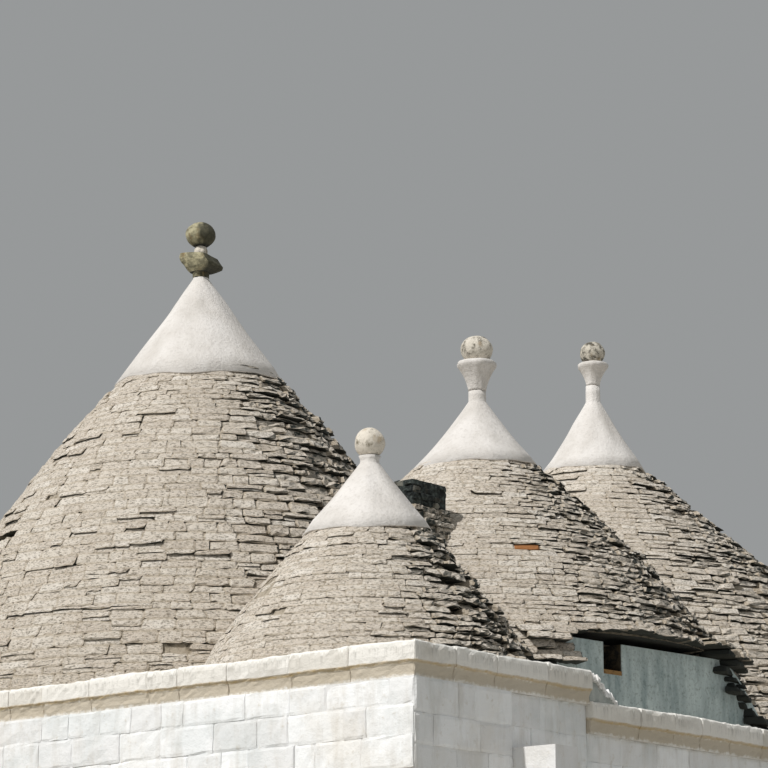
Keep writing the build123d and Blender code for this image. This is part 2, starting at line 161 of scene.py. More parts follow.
# Maps a value from one span onto another, held at its ends
def spans(tree, source, low, high, toLow=0.0, toHigh=1.0):
    inputs = {"Value": source, "From Min": low, "From Max": high, "To Min": toLow, "To Max": toHigh}
    return addNode(tree, "ShaderNodeMapRange", {}, inputs).outputs["Result"]


def sums(tree, kind, first, second):
    return addNode(tree, "ShaderNodeMath", {"operation": kind}, {0: first, 1: second}).outputs[0]


def product(tree, first, second):
    return sums(tree, "MULTIPLY", first, second)


# A value moved up and down by a noise, which leaves it alone where it is 0.5
def wavering(tree, value, source, reach):
    return sums(tree, "ADD", value, product(tree, sums(tree, "SUBTRACT", source, 0.5), reach))


# Two noises added up for a bump, each with its own share
def relief(tree, first, firstShare, second, secondShare):
    return sums(tree, "ADD", product(tree, first, firstShare), product(tree, second, secondShare))


def stretched(tree, place, scale):
    return addNode(tree, "ShaderNodeMapping", {}, {"Vector": place, "Scale": scale}).outputs["Vector"]


# The value that a mesh keeps for each of its points
def marked(tree, name):
    return addNode(tree, "ShaderNodeAttribute", {"attribute_name": name}).outputs["Fac"]


# How much a surface faces a direction, from 0 at the first value of their cosine to 1 at the second
def turnedTo(tree, direction, low, high):
    normal = addNode(tree, "ShaderNodeNewGeometry").outputs["Normal"]
    cosine = addNode(tree, "ShaderNodeVectorMath", {"operation": "DOT_PRODUCT"}, {0: normal, 1: direction})
    return spans(tree, cosine.outputs["Value"], low, high)


# Lays tones over the body, each where its source goes from low to high: none of it, or least, before low,
# and share after high. A last entry is one more socket that the amount is multiplied by.
def layered(tree, body, layers):
    for tone, source, low, high, share, *more in layers:
        amount = spans(tree, source, low, high, more[0] if more else 0.0, share)
        body = mixed(tree, product(tree, more[1], amount) if more else amount, body, tone)
    return body


def startMaterial(name, roughness, ior=1.5):
    material = bpy.data.materials.new(name)
    material.use_nodes = True
    tree = material.node_tree
    shader = tree.nodes["Principled BSDF"]
    shader.inputs["Roughness"].default_value = roughness
    shader.inputs["IOR"].default_value = ior
    return material, tree, addNode(tree, "ShaderNodeTexCoord").outputs["Object"]


# Links the colour and a bump of the given depth in metres
def finishMaterial(material, tone, height, depth):
    tree = material.node_tree
    shader = tree.nodes["Principled BSDF"]
    bump = addNode(tree, "ShaderNodeBump", {}, {"Height": height, "Distance": depth, "Strength": 1.0})
    tree.links.new(tone, shader.inputs["Base Color"])
    tree.links.new(bump.outputs["Normal"], shader.inputs["Normal"])
    return material


shadeSide = (0.80, 0.60, 0.0)  # heading away from the sun, where faces get painted shade, partly crust
downwards = (0, 0, -1)


# Split limestone slabs: matt and warm grey, bleached on the face, with dark pits and grain along the bed.
# Blotches are about 16 cm, pits 3 cm and grain 2 cm. Tan dust lies along the edges of a slab. Faces
# that look down are darkened with painted shade, and faces turned to the shaded side get dark patches that
# are partly crust and partly painted shade. A tone above 1 marks the one slab of fired clay, and a tone
# below 0 the slabs that are painted black as painted shade.
def slateMaterial():
    material, tree, place = startMaterial("splitLimestone", 0.92)
    tone, edge = marked(tree, "stoneTone"), marked(tree, "stoneEdge")
    flat = stretched(tree, place, (1, 1, 2.6))
    blotch, grain, pits = noises(tree, flat, (0.16, 6, 0.62), (0.022, 6, 0.75), (0.030, 5, 0.7))
    body = ramp(tree, tone, [(0.0, "#CABDAD"), (0.35, "#D9CDBE"), (0.75, "#E4DACC"), (1.0, "#EFE7DC")])
    body = layered(tree, body, [
        ("#C3B6A4", blotch, 0.45, 0.7, 0.7),
        ("#F1EAE0", grain, 0.42, 0.62, 0.75),
        ("#7F7566", pits, 0.50, 0.62, 0.9),
        ("#B7A993", pits, 0.35, 0.55, 0.8, 0.2, edge),
        ("#AE7546", tone, 1.2, 1.4, 1.0),
        # painted shade: a tone below 0 paints a slab near black
        ("#2C312F", tone, -0.2, -0.8, 1.0),
        # painted shade, partly crust: dark patches on faces turned to the shaded side
        ("#343B38", blotch, 0.42, 0.52, 1.0, 0.1, turnedTo(tree, shadeSide, 0.50, 0.80)),
    ])
    # painted shade: faces that look down are darkened to near black
    body = mixed(tree, turnedTo(tree, downwards, 0.15, 0.6), body, "#33352F")
    return finishMaterial(material, body, relief(tree, grain, 0.5, pits, -0.6), 0.024)


# Lime plaster brushed by hand: matt, nearly white, with grey weathering that runs down.
# Clouds are about 0.5 m, brush marks 3 cm and flecks 1 cm. With a crest, faces that look up are painted pure
# white, a painted highlight of a lit top.
def plasterMaterial(name, tone, shade, stain, stainShare, run, crest=0.0):
    material, tree, place = startMaterial(name, 0.88)
    cloud = noise(tree, stretched(tree, place, (run, run, 0.8)), 0.5, 6, 0.65)
    brush, fleck = noises(tree, place, (0.03, 6, 0.65), (0.011, 3, 0.6))
    body = layered(tree, tone, [(shade, cloud, 0.38, 0.68, 1.0), (stain, brush, 0.52, 0.72, stainShare)])
    if crest:
        # painted highlight: faces that look up turn white
        body = mixed(tree, turnedTo(tree, (0, 0, 1), crest, crest + 0.2), body, "#F2F0EB")
    return finishMaterial(material, body, relief(tree, brush, 0.8, fleck, 0.2), 0.012)


# Limewashed blocks: many coats of wash over stone, with grey where water runs.
# Tan and blue-grey clouds are about 0.8 m, water marks 0.4 m, flaking coats 6 cm and grit 1 cm.
def blockMaterial():
    material, tree, place = startMaterial("limewashedBlock", 0.85)
    water = noise(tree, stretched(tree, place, (3.0, 3.0, 0.7)), 0.4, 6, 0.65)
    cloud, coat, grit = noises(tree, place, (0.8, 4, 0.6), (0.06, 6, 0.6), (0.012, 4, 0.6))
    body = ramp(tree, marked(tree, "stoneTone"), [(0.0, "#E8E8E8"), (0.5, "#F2F3F3"), (1.0, "#F9FAFB")])
    body = layered(tree, body, [
        ("#CDC8C0", water, 0.48, 0.7, 0.55),
        ("#DACFBD", cloud, 0.52, 0.66, 0.3),
        ("#BCC4C4", cloud, 0.46, 0.36, 0.3),
        ("#C9C1B2", coat, 0.6, 0.72, 0.45),
    ])
    return finishMaterial(material, body, relief(tree, coat, 0.8, grit, 0.25), 0.012)


# Limewashed coping: grey drips fall from its white top edge, whose white is partly worn wash and partly a
# painted highlight of the lit edge. Its cove, from foot to coveTop, is tan under a broken ochre line: partly
# stain and partly painted shade under the coping. Clouds are about 25 cm, coats 5 cm, grit 1 cm and drips 3
# cm wide.
def copingMaterial(top, coveTop, foot):
    material, tree, place = startMaterial("limewashedCoping", 0.86)
    cloud, coat, grit = noises(tree, place, (0.25, 6, 0.65), (0.05, 6, 0.65), (0.012, 4, 0.6))
    drips = noise(tree, stretched(tree, place, (9.0, 9.0, 0.6)), 0.25, 5, 0.7)
    up = addNode(tree, "ShaderNodeSeparateXYZ", {}, {"Vector": place}).outputs["Z"]
    body = ramp(tree, marked(tree, "stoneTone"), [(0.0, "#DBD6CD"), (0.5, "#E6E2DA"), (1.0, "#EFECE6")])
    body = layered(tree, body, [
        ("#BDB7AC", cloud, 0.5, 0.72, 0.5),
        ("#7F7B72", drips, 0.5, 0.66, 0.8, 0.0, spans(tree, up, top - 0.13, top)),
        # white top edge: partly worn wash, partly a painted highlight of the lit edge
        ("#F4F2EC", wavering(tree, up, drips, 0.16), top - 0.035, top - 0.02, 1.0),
    ])
    level = wavering(tree, up, coat, 0.09)
    # the cove's tan: partly stain, partly painted shade under the coping
    cove = product(tree, spans(tree, level, coveTop, coveTop - 0.015), spans(tree, level, foot, foot + 0.02))
    body = mixed(tree, product(tree, cove, 0.75), body, "#B9AB93")
    beside = sums(tree, "SUBTRACT", wavering(tree, up, cloud, 0.05), coveTop - 0.004)
    line = spans(tree, sums(tree, "ABSOLUTE", beside, 0.0), 0.016, 0.005)
    body = layered(tree, body, [("#B5954F", coat, 0.35, 0.6, 0.75, 0.25, line)])
    return finishMaterial(material, body, relief(tree, coat, 0.8, grit, 0.25), 0.014)


# Weathered limestone with a crust of lichen: rough, mottled and pitted. Crusts are about 6 cm, specks 2 cm
# and patches 11 cm. Its undersides are painted nearly black as painted shade, and shaded is how much painted
# shade darkens the side turned away from the sun. A stone whose tone is above 0.87 is a fresh, pale one.
def lichenMaterial(name, pale, dark, rust, darkShare, blotch=1.0, shaded=0.0):
    material, tree, place = startMaterial(name, 0.94)
    crust, speck, patch = noises(tree, place, (0.06, 6, 0.65), (0.018, 5, 0.7), (0.11, 3, 0.5))
    start = 0.62 - darkShare * 0.35
    body = layered(tree, pale, [
        (dark, crust, start, start + 0.16, blotch),
        (rust, patch, 0.6, 0.72, 0.6),
        (dark, speck, 0.55, 0.7, 0.6),
        ("#B9B4A6", marked(tree, "stoneTone"), 0.86, 0.88, 0.4),
    ])
    # painted shade on the side turned away from the sun, by shaded
    body = mixed(tree, product(tree, turnedTo(tree, shadeSide, -0.1, 0.25), shaded), body, dark)
    # painted shade: undersides darkened to nearly black
    body = mixed(tree, turnedTo(tree, downwards, 0.75, 1.0), body, "#272824")
    return finishMaterial(material, body, relief(tree, crust, 0.6, speck, -0.5), 0.016)


coveHeight = 0.11
slate = slateMaterial()
capPlaster = plasterMaterial("limePlasterCap", "#E5E1DD", "#D0CBC5", "#B5AFA8", 0.45, 1.6)
# on the plastered wall the blue-grey tint is painted shade of skylight, over grey weathering streaks
shadedAndStreakedWallPlaster = plasterMaterial("limePlasterWallShadeAndStreaks", "#CDDBDB", "#8EA0A3", "#66736F", 0.7, 3.0)
innerPlaster = plasterMaterial("limewashInside", "#E4E0D8", "#D2CCC2", "#B5AEA2", 0.3, 2.2)
roofPlaster = plasterMaterial("limePlasterRoof", "#D9D5CD", "#BDB6AA", "#8F887C", 0.6, 1.4)
# on the ramp the grey-blue is partly painted shade of its side, and the crest a painted highlight of its top
rampPlasterShadeAndHighlight = plasterMaterial("limePlasterRampShadeAndHighlight", "#B9BDB8", "#9AA19E", "#7D8583", 0.5, 5.0, 0.5)
block = blockMaterial()
highCoping = copingMaterial(copingLevel, wallTop + coveHeight, wallTop)
lowCoping = copingMaterial(lowCopingLevel, lowWallTop + coveHeight, lowWallTop)
# the great ball and block get strong painted shade on the side away from the sun
oliveLichen = lichenMaterial("oliveLichenStone", "#B5AE8F", "#36362A", "#86693A", 0.6, 0.62, 0.85)
greyLichen = lichenMaterial("greyLimestone", "#D9D2C5", "#6B6558", "#A8957A", 0.35)
mottledLichen = lichenMaterial("mottledLimestone", "#D2CBBD", "#57534A", "#9A8663", 0.5)
paleLichen = lichenMaterial("paleLimestone", "#E3DBCE", "#877F6E", "#B29C7C", 0.25)
rubble = lichenMaterial("rubbleLimestone", "#ADA291", "#6A6153", "#90806A", 0.35)
# painted shade: the chimney's stone is near black for the shade its visible face stands in
chimneyShadeStone = lichenMaterial("chimneyStoneDarkenedForShade", "#4E5653", "#1C2222", "#4A4338", 0.7)
ochreSill = lichenMaterial("ochreSillStone", "#9C7A4C", "#5A4630", "#A06A35", 0.3)
darkJamb = lichenMaterial("darkJambStone", "#4A4030", "#191917", "#5C4426", 0.6)
print("materials made")

coneNames = ["great", "corner", "middle", "back"]
wornBy = {
    rubble: [name + "_cone" for name in coneNames],
    capPlaster: [name + "_cap" for name in coneNames] + ["middle_capital", "back_capital"],
    shadedAndStreakedWallPlaster: ["middle_drum"],
    roofPlaster: [name + "_roof_bed" for name in coneNames] + ["annex_roof"],
    innerPlaster: ["cross_wall_front", "cross_wall_corner", "cross_wall_back", "corner_back_wall",
                   "spine_wall", "spine_wall_back"],
    highCoping: ["front_coping", "right_coping", "back_coping", "left_coping_back", "left_coping_step",
                 "left_coping_front", "coping_ramp"],
    lowCoping: ["annex_coping", "annex_end_coping"],
    oliveLichen: ["great_ball", "great_capital"],
    paleLichen: ["great_seat_stone", "corner_ball"],
    greyLichen: ["middle_ball"],
    mottledLichen: ["back_ball"],
    chimneyShadeStone: ["chimney"],
    ochreSill: ["drum_window_sill"],
}
materialOf = {name: material for material, names in wornBy.items() for name in names}
for name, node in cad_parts.items():
    node.data.materials.clear()
    node.data.materials.append(materialOf.get(name, block))


# Making meshes

# One mesh object from an (n, 3) array of points and a list of face index arrays, one per side count.
# marks maps the name of a point attribute to its values.
def meshFrom(name, points, faceSets, material, marks=None, smooth=False):
    mesh = bpy.data.meshes.new(name)
    mesh.vertices.add(len(points))
    mesh.vertices.foreach_set("co", np.ascontiguousarray(points, np.float32).ravel())
    loops = np.concatenate([faces.ravel() for faces in faceSets])
    totals = np.concatenate([np.full(len(faces), faces.shape[1]) for faces in faceSets])
    starts = np.concatenate([[0], np.cumsum(totals)[:-1]])
    mesh.loops.add(len(loops))
    mesh.loops.foreach_set("vertex_index", loops.astype(np.int32))
    mesh.polygons.add(len(totals))
    mesh.polygons.foreach_set("loop_start", starts.astype(np.int32))
    mesh.polygons.foreach_set("loop_total", totals.astype(np.int32))
    mesh.polygons.foreach_set("use_smooth", np.full(len(totals), smooth))
    for key, values in (marks or {}).items():
        mesh.attributes.new(key, "FLOAT", "POINT").data.foreach_set("value", values.astype(np.float32))
    mesh.update(calc_edges=True)
    mesh.validate()
    mesh.materials.append(material)
    piece = bpy.data.objects.new(name, mesh)
    bpy.context.collection.objects.link(piece)
    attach(piece, "root")
    return piece


anyPhase = 6.283  # the largest random angle, in radians
ruggedEnd = 1.2  # stones less rugged than this close their joints


# How far neighbours overlap, the more the less rugged they are
def overlap(shape, rugged):
    return shape.get("closing", 0) * np.clip(ruggedEnd - rugged, 0, 1)


# Local points of many stones at once, as (stones, stations, ring, 3) of along, outward and up. A ring round
# each stone's back, bed, rounded face and top is carried along its length, and pulled in at its ends. The
# face falls back by lean for each metre of height. Neighbours share the slant of their joint, and the gap
# between them is random, as is a small move of each point of the face. rugged multiplies the gap and the
# moves, and within limits the roundness of the edges, the tilt and the waver of the joints.
def stoneShapes(rng, start, end, low, high, face, back, lean, shape, rugged=1.0):
    stations, faceUp, edge = np.array(shape["stations"]), np.array(shape["faceUp"]), shape["edge"]
    ringUp = np.array([0, 0, *faceUp, 1, 1])
    ringPull = np.array([0, edge, *(0.2 * edge * np.abs(2 * faceUp - 1)), edge, 0])
    count, steps, ring = len(start), len(stations), len(ringUp)
    given = (low, high, face, back, lean, rugged)
    low, high, face, back, lean, rugged = (np.broadcast_to(values, count) for values in given)
    gap = shape["gap"] * rugged * rng.uniform(0, 1, count) - overlap(shape, rugged)
    slant = rng.normal(0, shape["slant"], count + 1)
    slanted = slant[:-1, None] * (1 - stations) + slant[1:, None] * stations
    run = end - start - 2 * gap
    along = (start + gap)[:, None] + run[:, None] * stations
    along = along[:, :, None] + slanted[:, :, None] * (ringUp - 0.5)
    endPull, corner = np.zeros(steps), np.zeros(steps)
    endPull[[0, -1]] = shape["endPull"]
    endPull[[1, -2]] = shape["endPull"] * 0.15
    corner[[0, -1]] = shape["corner"]
    ringRise = 0.5 + (ringUp - 0.5) * (1 - corner[:, None] * np.abs(2 * ringUp - 1))
    rise = (high - low - gap)[:, None, None]
    rugged = rugged[:, None, None]
    out = face[:, None, None] - lean[:, None, None] * rise * ringUp
    out = out - ringPull * np.clip(rugged, 0.5, ruggedEnd)
    out = out - endPull[None, :, None] * np.clip(rugged, 0.4, 1)
    out = out + rugged * rng.normal(0, shape["rough"], (count, steps, ring))
    out[..., [0, -1]] = back[:, None, None]
    tilt = rng.normal(0, shape["tilt"], (count, 1, 1)) * (stations[None, :, None] - 0.5) * run[:, None, None]
    up = (low + gap / 2)[:, None, None] + ringRise * rise
    up = up + np.maximum(rugged, 0.9) * (tilt + rng.normal(0, shape["waver"], (count, steps, ring)))
    return np.stack([along, out, up], -1)


# Quads between the closed rings of many equal grids of points, pointing outwards
def ringQuads(count, rings, segments):
    grids = (np.arange(count) * rings * segments)[:, None, None]
    start = grids + np.arange(rings - 1)[:, None] * segments
    here = np.arange(segments)
    beside = (here + 1) % segments
    above = start + segments
    return np.stack([start + here, start + beside, above + beside, above + here], -1).reshape(-1, 4)


# Makes one piece of many stones from their points in the frame, with one polygon at each end of a stone. The
# attribute stoneTone is each stone's own value, and stoneEdge is 1 round the edge of its face and 0 within.
def stonePiece(name, points, material, tone):
    count, steps, ring = points.shape[:3]
    edge = np.ones((steps, ring))
    edge[1:-1, 2:-2] = 0
    marks = {"stoneTone": np.repeat(tone, steps * ring), "stoneEdge": np.tile(edge.ravel(), count)}
    start = (np.arange(count) * steps * ring)[:, None]
    ends = np.concatenate([start + np.arange(ring)[::-1], start + (steps - 1) * ring + np.arange(ring)])
    faces = [ringQuads(count, steps, ring), ends]
    return meshFrom(name, points.reshape(-1, 3), faces, material, marks)


# A closed round piece from a (rings, segments, 3) grid that runs counterclockwise and upwards.
# A point in the middle of the first and last ring closes its ends.
def roundPiece(name, grid, material, smooth=True):
    rings, segments = grid.shape[:2]
    points = np.concatenate([grid.reshape(-1, 3), grid[:1].mean(1), grid[-1:].mean(1)])
    here = np.arange(segments)
    beside = (here + 1) % segments
    middle = np.full(segments, rings * segments)
    lowFan = np.stack([middle, beside, here], -1)
    topFan = np.stack([middle + 1, here + (rings - 1) * segments, beside + (rings - 1) * segments], -1)
    fans = np.concatenate([lowFan, topFan])
    return meshFrom(name, points, [ringQuads(1, rings, segments), fans], material, smooth=smooth)


# Headings in radians, evenly round an axis
def headings(count):
    return np.linspace(0, math.tau, count, endpoint=False)


# Soft random relief on a round surface: a sum of sine waves, each up to 12 times round the axis and up to 14
# radians for each metre of height, that weigh less the finer they are
def ripples(rng, turn, level, size):
    total = np.zeros(np.broadcast(turn, level).shape)
    for step in range(16):
        around = rng.integers(0, 13)
        rising = rng.uniform(-14, 14)
        weight = 1 / (1 + 0.35 * around + 0.1 * abs(rising))
        total = total + weight * np.sin(around * turn + rising * level + rng.uniform(0, anyPhase))
    return total * size * 0.5


# Numbers round 1, up to spread above or below it
def varied(rng, spread, size=None):
    return rng.uniform(1 - spread, 1 + spread, size)


# Shares from 0 to 1 that cut a run into a number of random lengths
def cutShares(rng, count, spread):
    lengths = varied(rng, spread, count)
    return np.concatenate([[0], np.cumsum(lengths) / lengths.sum()])


# Places along a run that cut it into stones of about a mean length
def splitRun(rng, start, end, meanLength, spread):
    count = max(1, round((end - start) / meanLength))
    return start + (end - start) * cutShares(rng, count, spread)


# The start, direction, outward direction and length of a run whose outside is on its right
def runPlace(start, end):
    start, end = np.array(start), np.array(end)
    length = np.linalg.norm(end - start)
    direction = (end - start) / length
    return start, direction, np.array([direction[1], -direction[0]]), length


# The same for a wall between two corners of the plan
def wallPlace(start, end):
    return runPlace((cornerX + start[0], cornerY + start[1]), (cornerX + end[0], cornerY + end[1]))


# Local points of stones, put on a run
def onRun(shapes, start, direction, outward):
    flat = start + shapes[..., 0, None] * direction + shapes[..., 1, None] * outward
    return np.concatenate([flat, shapes[..., 2:3]], -1)


# Slate courses on the cones

# foot is a flank's radius at the roof bed, courses the heights of its lowest and highest ring, smooth how
# rugged its sunny side is, and leanShare how much of the flank's slope the face of a slab takes
cones = {
    "great": {"foot": 2.620, "power": 1.5, "seed": 11, "meanLength": 0.23, "courses": (0.088, 0.060),
              "smooth": 0.5, "leanShare": 0.82},
    "corner": {"foot": 1.395, "power": 1.2, "seed": 23, "meanLength": 0.17, "courses": (0.064, 0.050),
               "smooth": 0.2, "leanShare": 0.95},
    "middle": {"foot": 2.820, "power": 1.5, "seed": 37, "meanLength": 0.22, "courses": (0.070, 0.048),
               "smooth": 0.4, "leanShare": 0.85},
    "back": {"foot": 3.550, "power": 1.5, "seed": 41, "meanLength": 0.27, "courses": (0.082, 0.056),
             "smooth": 0.45, "leanShare": 0.85},
}
slateCourse = {
    "heightSpread": 0.32,
    "deep": 0.15,
    "fewest": 7,  # slabs in a ring
    "underCap": 0.01,  # how far the last ring goes up under the cap
    "lowest": 0.02,  # least height of a ring
    "lengthSpread": 0.5,
    "faceSpread": 0.007,
    "courseSpread": 0.006,
    "proudShare": 0.10,  # slabs that stand out by about proud metres
    "proud": 0.018,
    "sunkShare": 0.06,  # slabs that lie back by about sunk metres
    "sunk": 0.022,
    "splitShare": 0.16,  # slabs that are laid as two thin ones, where they are at least splitFrom high
    "splitFrom": 0.06,
    "missingShare": 0.003,
    "sunken": 0.03,  # how deep a slab lies in a neighbouring cone before it is left out
    "roughest": 1.8,  # how rugged the shaded side is
    "wander": 0.007,
    "bedSpread": 0.0025,
    "topSpread": 0.003,
}
slateShape = {"stations": [0, 0.07, 0.36, 0.66, 0.93, 1], "faceUp": [0.22, 0.78], "edge": 0.011,
              "corner": 0.28, "gap": 0.003, "slant": 0.013, "endPull": 0.012, "rough": 0.0042,
              "tilt": 0.022, "waver": 0.0036, "closing": 0.0042}
capLap = 0.03
# The plastered wall: its heading in degrees, how far its face is from the middle cone's axis, the eave's
# level over the copings, and places along it from the axis
eaveWall = {"facing": -6.0, "face": 2.2, "eave": 0.92, "overhang": 0.08, "thickness": 0.4, "start": -1.12,
            "startLow": -1.32, "stepLevel": 0.62, "endCover": 0.2, "cover": 0.14, "coverRun": 0.3}
claySlab = {"cone": "middle", "turn": -36.0, "level": 1.83, "tone": 1.5}
# tone of the slabs painted black as painted shade
shadeBlackTone = -1
# Places where slabs are missing. Where a hollow gives a depth for black slabs, these stay that many metres
# back and are painted black, as painted shade in the hollow.
hollows = [
    {"cone": "great", "turn": -103.0, "level": 1.50, "size": 0.18, "height": 0.045, "depth": 0.13},
    {"cone": "middle", "turn": -35.5, "level": 0.53, "size": 0.22, "height": 0.05, "depth": 0.0,
     "shadeBlackSlabs": 0.012},
    {"cone": "corner", "turn": 12.0, "level": 0.79, "size": 0.10, "height": 0.025, "depth": 0.08},
    {"cone": "corner", "turn": 2.6, "level": 0.70, "size": 0.15, "height": 0.035, "depth": 0.10},
    {"cone": "corner", "turn": -11.8, "level": 0.395, "size": 0.07, "height": 0.03, "depth": 0.08},
]
ledge = {"cone": "middle", "turn": -34.5, "level": 0.615, "size": 0.25, "height": 0.045, "out": 0.08}

for name, cone in cones.items():
    capLow, capHigh = boxOf(name + "_cap")
    cone["x"] = (capLow[0] + capHigh[0]) / 2
    cone["y"] = (capLow[1] + capHigh[1]) / 2
    cone["capFoot"] = (capHigh[0] - capLow[0]) / 2
    cone["seat"] = cone["capFoot"] - capLap
    cone["seatLevel"] = capLow[2]
    cone["capTop"] = capHigh[2]

wallFacing = math.radians(eaveWall["facing"])
wallOut = np.array([math.cos(wallFacing), math.sin(wallFacing)])
eaveLevel = copingLevel + eaveWall["eave"]


# Radius of a cone's slated flank at a height: it falls from foot to seat by a power of the height's share
def flankRadius(cone, level):
    share = np.clip((level - bedLevel) / (cone["seatLevel"] - bedLevel), 0, 1)
    return cone["foot"] + (cone["seat"] - cone["foot"]) * share ** cone["power"]


# How far the flank falls back for each metre of height: the slope of that power curve
def flankLean(cone, level):
    rise = cone["seatLevel"] - bedLevel
    share = np.clip((level - bedLevel) / rise, 0.02, 1)
    return (cone["foot"] - cone["seat"]) * cone["power"] * share ** (cone["power"] - 1) / rise


# Distance outwards from the middle cone's axis, square to the plastered wall
def outOfWall(x, y):
    middle = cones["middle"]
    return (x - middle["x"]) * wallOut[0] + (y - middle["y"]) * wallOut[1]


# Distance along the plastered wall from the middle cone's axis, towards the back of the house
def alongWall(x, y):
    middle = cones["middle"]
    return (y - middle["y"]) * wallOut[0] - (x - middle["x"]) * wallOut[1]


# Whether a place on the middle cone lies before the plastered wall, where its flank is cut away. The wall
# ends where the flank meets its face, less endCover.
def beforeWall(x, y, level):
    low = np.where(level > copingLevel + eaveWall["stepLevel"], eaveWall["start"], eaveWall["startLow"])
    reach = np.sqrt(np.maximum(flankRadius(cones["middle"], level) ** 2 - eaveWall["face"] ** 2, 0))
    along = alongWall(x, y)
    return (along > low) & (along < reach - eaveWall["endCover"])


# How far the slabs beside the start of the plastered wall are brought out, to cover its face: the distance
# from the axis to the face along the slab's heading, and a little more, less the radius
def wallCover(turn, radius, x, y):
    ahead = np.cos(turn - wallFacing)
    beside = (ahead > 0.5) & (np.abs(alongWall(x, y) - eaveWall["startLow"]) < eaveWall["coverRun"])
    out = (eaveWall["face"] + slateCourse["sunken"]) / np.maximum(ahead, 0.5) - radius
    return np.clip(out, 0, eaveWall["cover"]) * beside


# How far it is round the cone to a heading in degrees, at a radius
def runTo(turn, heading, radius):
    return np.abs(np.mod(turn - math.radians(heading) + math.pi, math.tau) - math.pi) * radius


# Whether a place on a cone lies in a hollow or ledge, or within a margin round it
def within(spot, turn, radius, level, sideMargin=0.0, levelMargin=0.0):
    near = runTo(turn, spot["turn"], radius) < spot["size"] + sideMargin
    return near & (np.abs(level - copingLevel - spot["level"]) < spot["height"] + levelMargin)


# Share from 0 to 1 by which a place on a cone lies towards the shaded side: a quarter more than the cosine
# between the two, held at 1
def towardsShade(turn):
    return np.clip(np.cos(turn - math.atan2(shadeSide[1], shadeSide[0])) * 1.25, 0, 1)


# Rings of slabs from the roof bed to under the cap's lip, cut into random lengths. The rows are the start and
# end angle, the low and high level and the radius, with one column for each slab.
def cutSlabs(rng, cone):
    top = cone["seatLevel"] + slateCourse["underCap"]
    level = bedLevel
    rings = []
    while level < top - slateCourse["lowest"]:
        share = (level - bedLevel) / (top - bedLevel)
        rise = cone["courses"][0] + (cone["courses"][1] - cone["courses"][0]) * share
        rise = min(rise * varied(rng, slateCourse["heightSpread"]), top - level)
        radius = float(flankRadius(cone, level + rise / 2)) + rng.normal(0, slateCourse["courseSpread"])
        count = max(slateCourse["fewest"], round(math.tau * radius / cone["meanLength"]))
        turns = math.tau * cutShares(rng, count, slateCourse["lengthSpread"]) + rng.uniform(0, anyPhase)
        same = np.ones(count)
        rings.append(np.stack([turns[:-1], turns[1:], level * same, (level + rise) * same, radius * same]))
        level += rise
    slabs = np.concatenate(rings, 1)
    low, high = slabs[2], slabs[3]
    split = (rng.random(len(low)) < slateCourse["splitShare"]) & (high - low > slateCourse["splitFrom"])
    part = low + (high - low) * rng.uniform(0.35, 0.65, len(low))
    thin = slabs[:, split]
    thin[2] = part[split]
    slabs[3] = np.where(split, part, high)
    return np.concatenate([slabs, thin], 1)


# Which slabs are kept, how far each stands out, and which are painted black as painted shade. Slabs inside
# another cone or before the plastered wall are left out, those over it hang out as an eave, and those beyond
# its end are painted black, as painted shade where the flank stands out past the wall's end.
def sortSlabs(rng, name, turn, level, radius):
    x, y = cones[name]["x"] + radius * np.cos(turn), cones[name]["y"] + radius * np.sin(turn)
    out, along = outOfWall(x, y), alongWall(x, y)
    beyond = out > eaveWall["face"] - slateCourse["sunken"]
    proud, shadeBlackened = np.zeros(len(turn)), np.zeros(len(turn), bool)
    keep = rng.random(len(turn)) > slateCourse["missingShare"]
    for other, body in cones.items():
        if other != name:
            away = np.hypot(x - body["x"], y - body["y"])
            inside = (away < flankRadius(body, level) - slateCourse["sunken"]) & (level < body["seatLevel"])
            keep &= ~(inside & ~(beyond & (level < eaveLevel))) if other == "middle" else ~inside
    if name == "middle":
        beyond &= level < eaveLevel - 0.01
        keep = (keep | beyond) & ~(beyond & beforeWall(x, y, level))
        # painted shade: slabs out past the wall's end are painted black
        shadeBlackened = beyond & (along > 0)
        eave = (out > eaveWall["face"] - 0.25) & (level > eaveLevel - 0.1) & (level < eaveLevel + 0.1)
        proud = eaveWall["overhang"] * eave * (1 + np.clip(along, 0, 1)) * rng.uniform(0.3, 1.5, len(turn))
        proud = proud + wallCover(turn, radius, x, y) * (level < eaveLevel)
    for hollow in hollows:
        if name == hollow["cone"]:
            inHollow = within(hollow, turn, radius, level)
            # painted shade: slabs in this hollow stay, set back and painted black
            if "shadeBlackSlabs" in hollow:
                shadeBlackened = shadeBlackened | inHollow
                proud = proud - hollow["shadeBlackSlabs"] * inHollow
            else:
                keep &= ~inHollow
    if name == ledge["cone"]:
        proud = proud + ledge["out"] * within(ledge, turn, radius, level)
    return keep, proud, shadeBlackened


# How far the rings wander up and down together: the sum of three sine waves of the angle, none at the bed
def wandering(rng, turn, low):
    phases = rng.uniform(0, anyPhase, 3)
    waves = (np.sin(2 * turn + phases[0] + 0.9 * low) + 0.6 * np.sin(5 * turn + phases[1] - 1.3 * low)
             + 0.5 * np.sin(9 * turn + phases[2] + 2.1 * low))
    return waves * slateCourse["wander"] * np.clip((low - bedLevel) / 0.3, 0, 1)


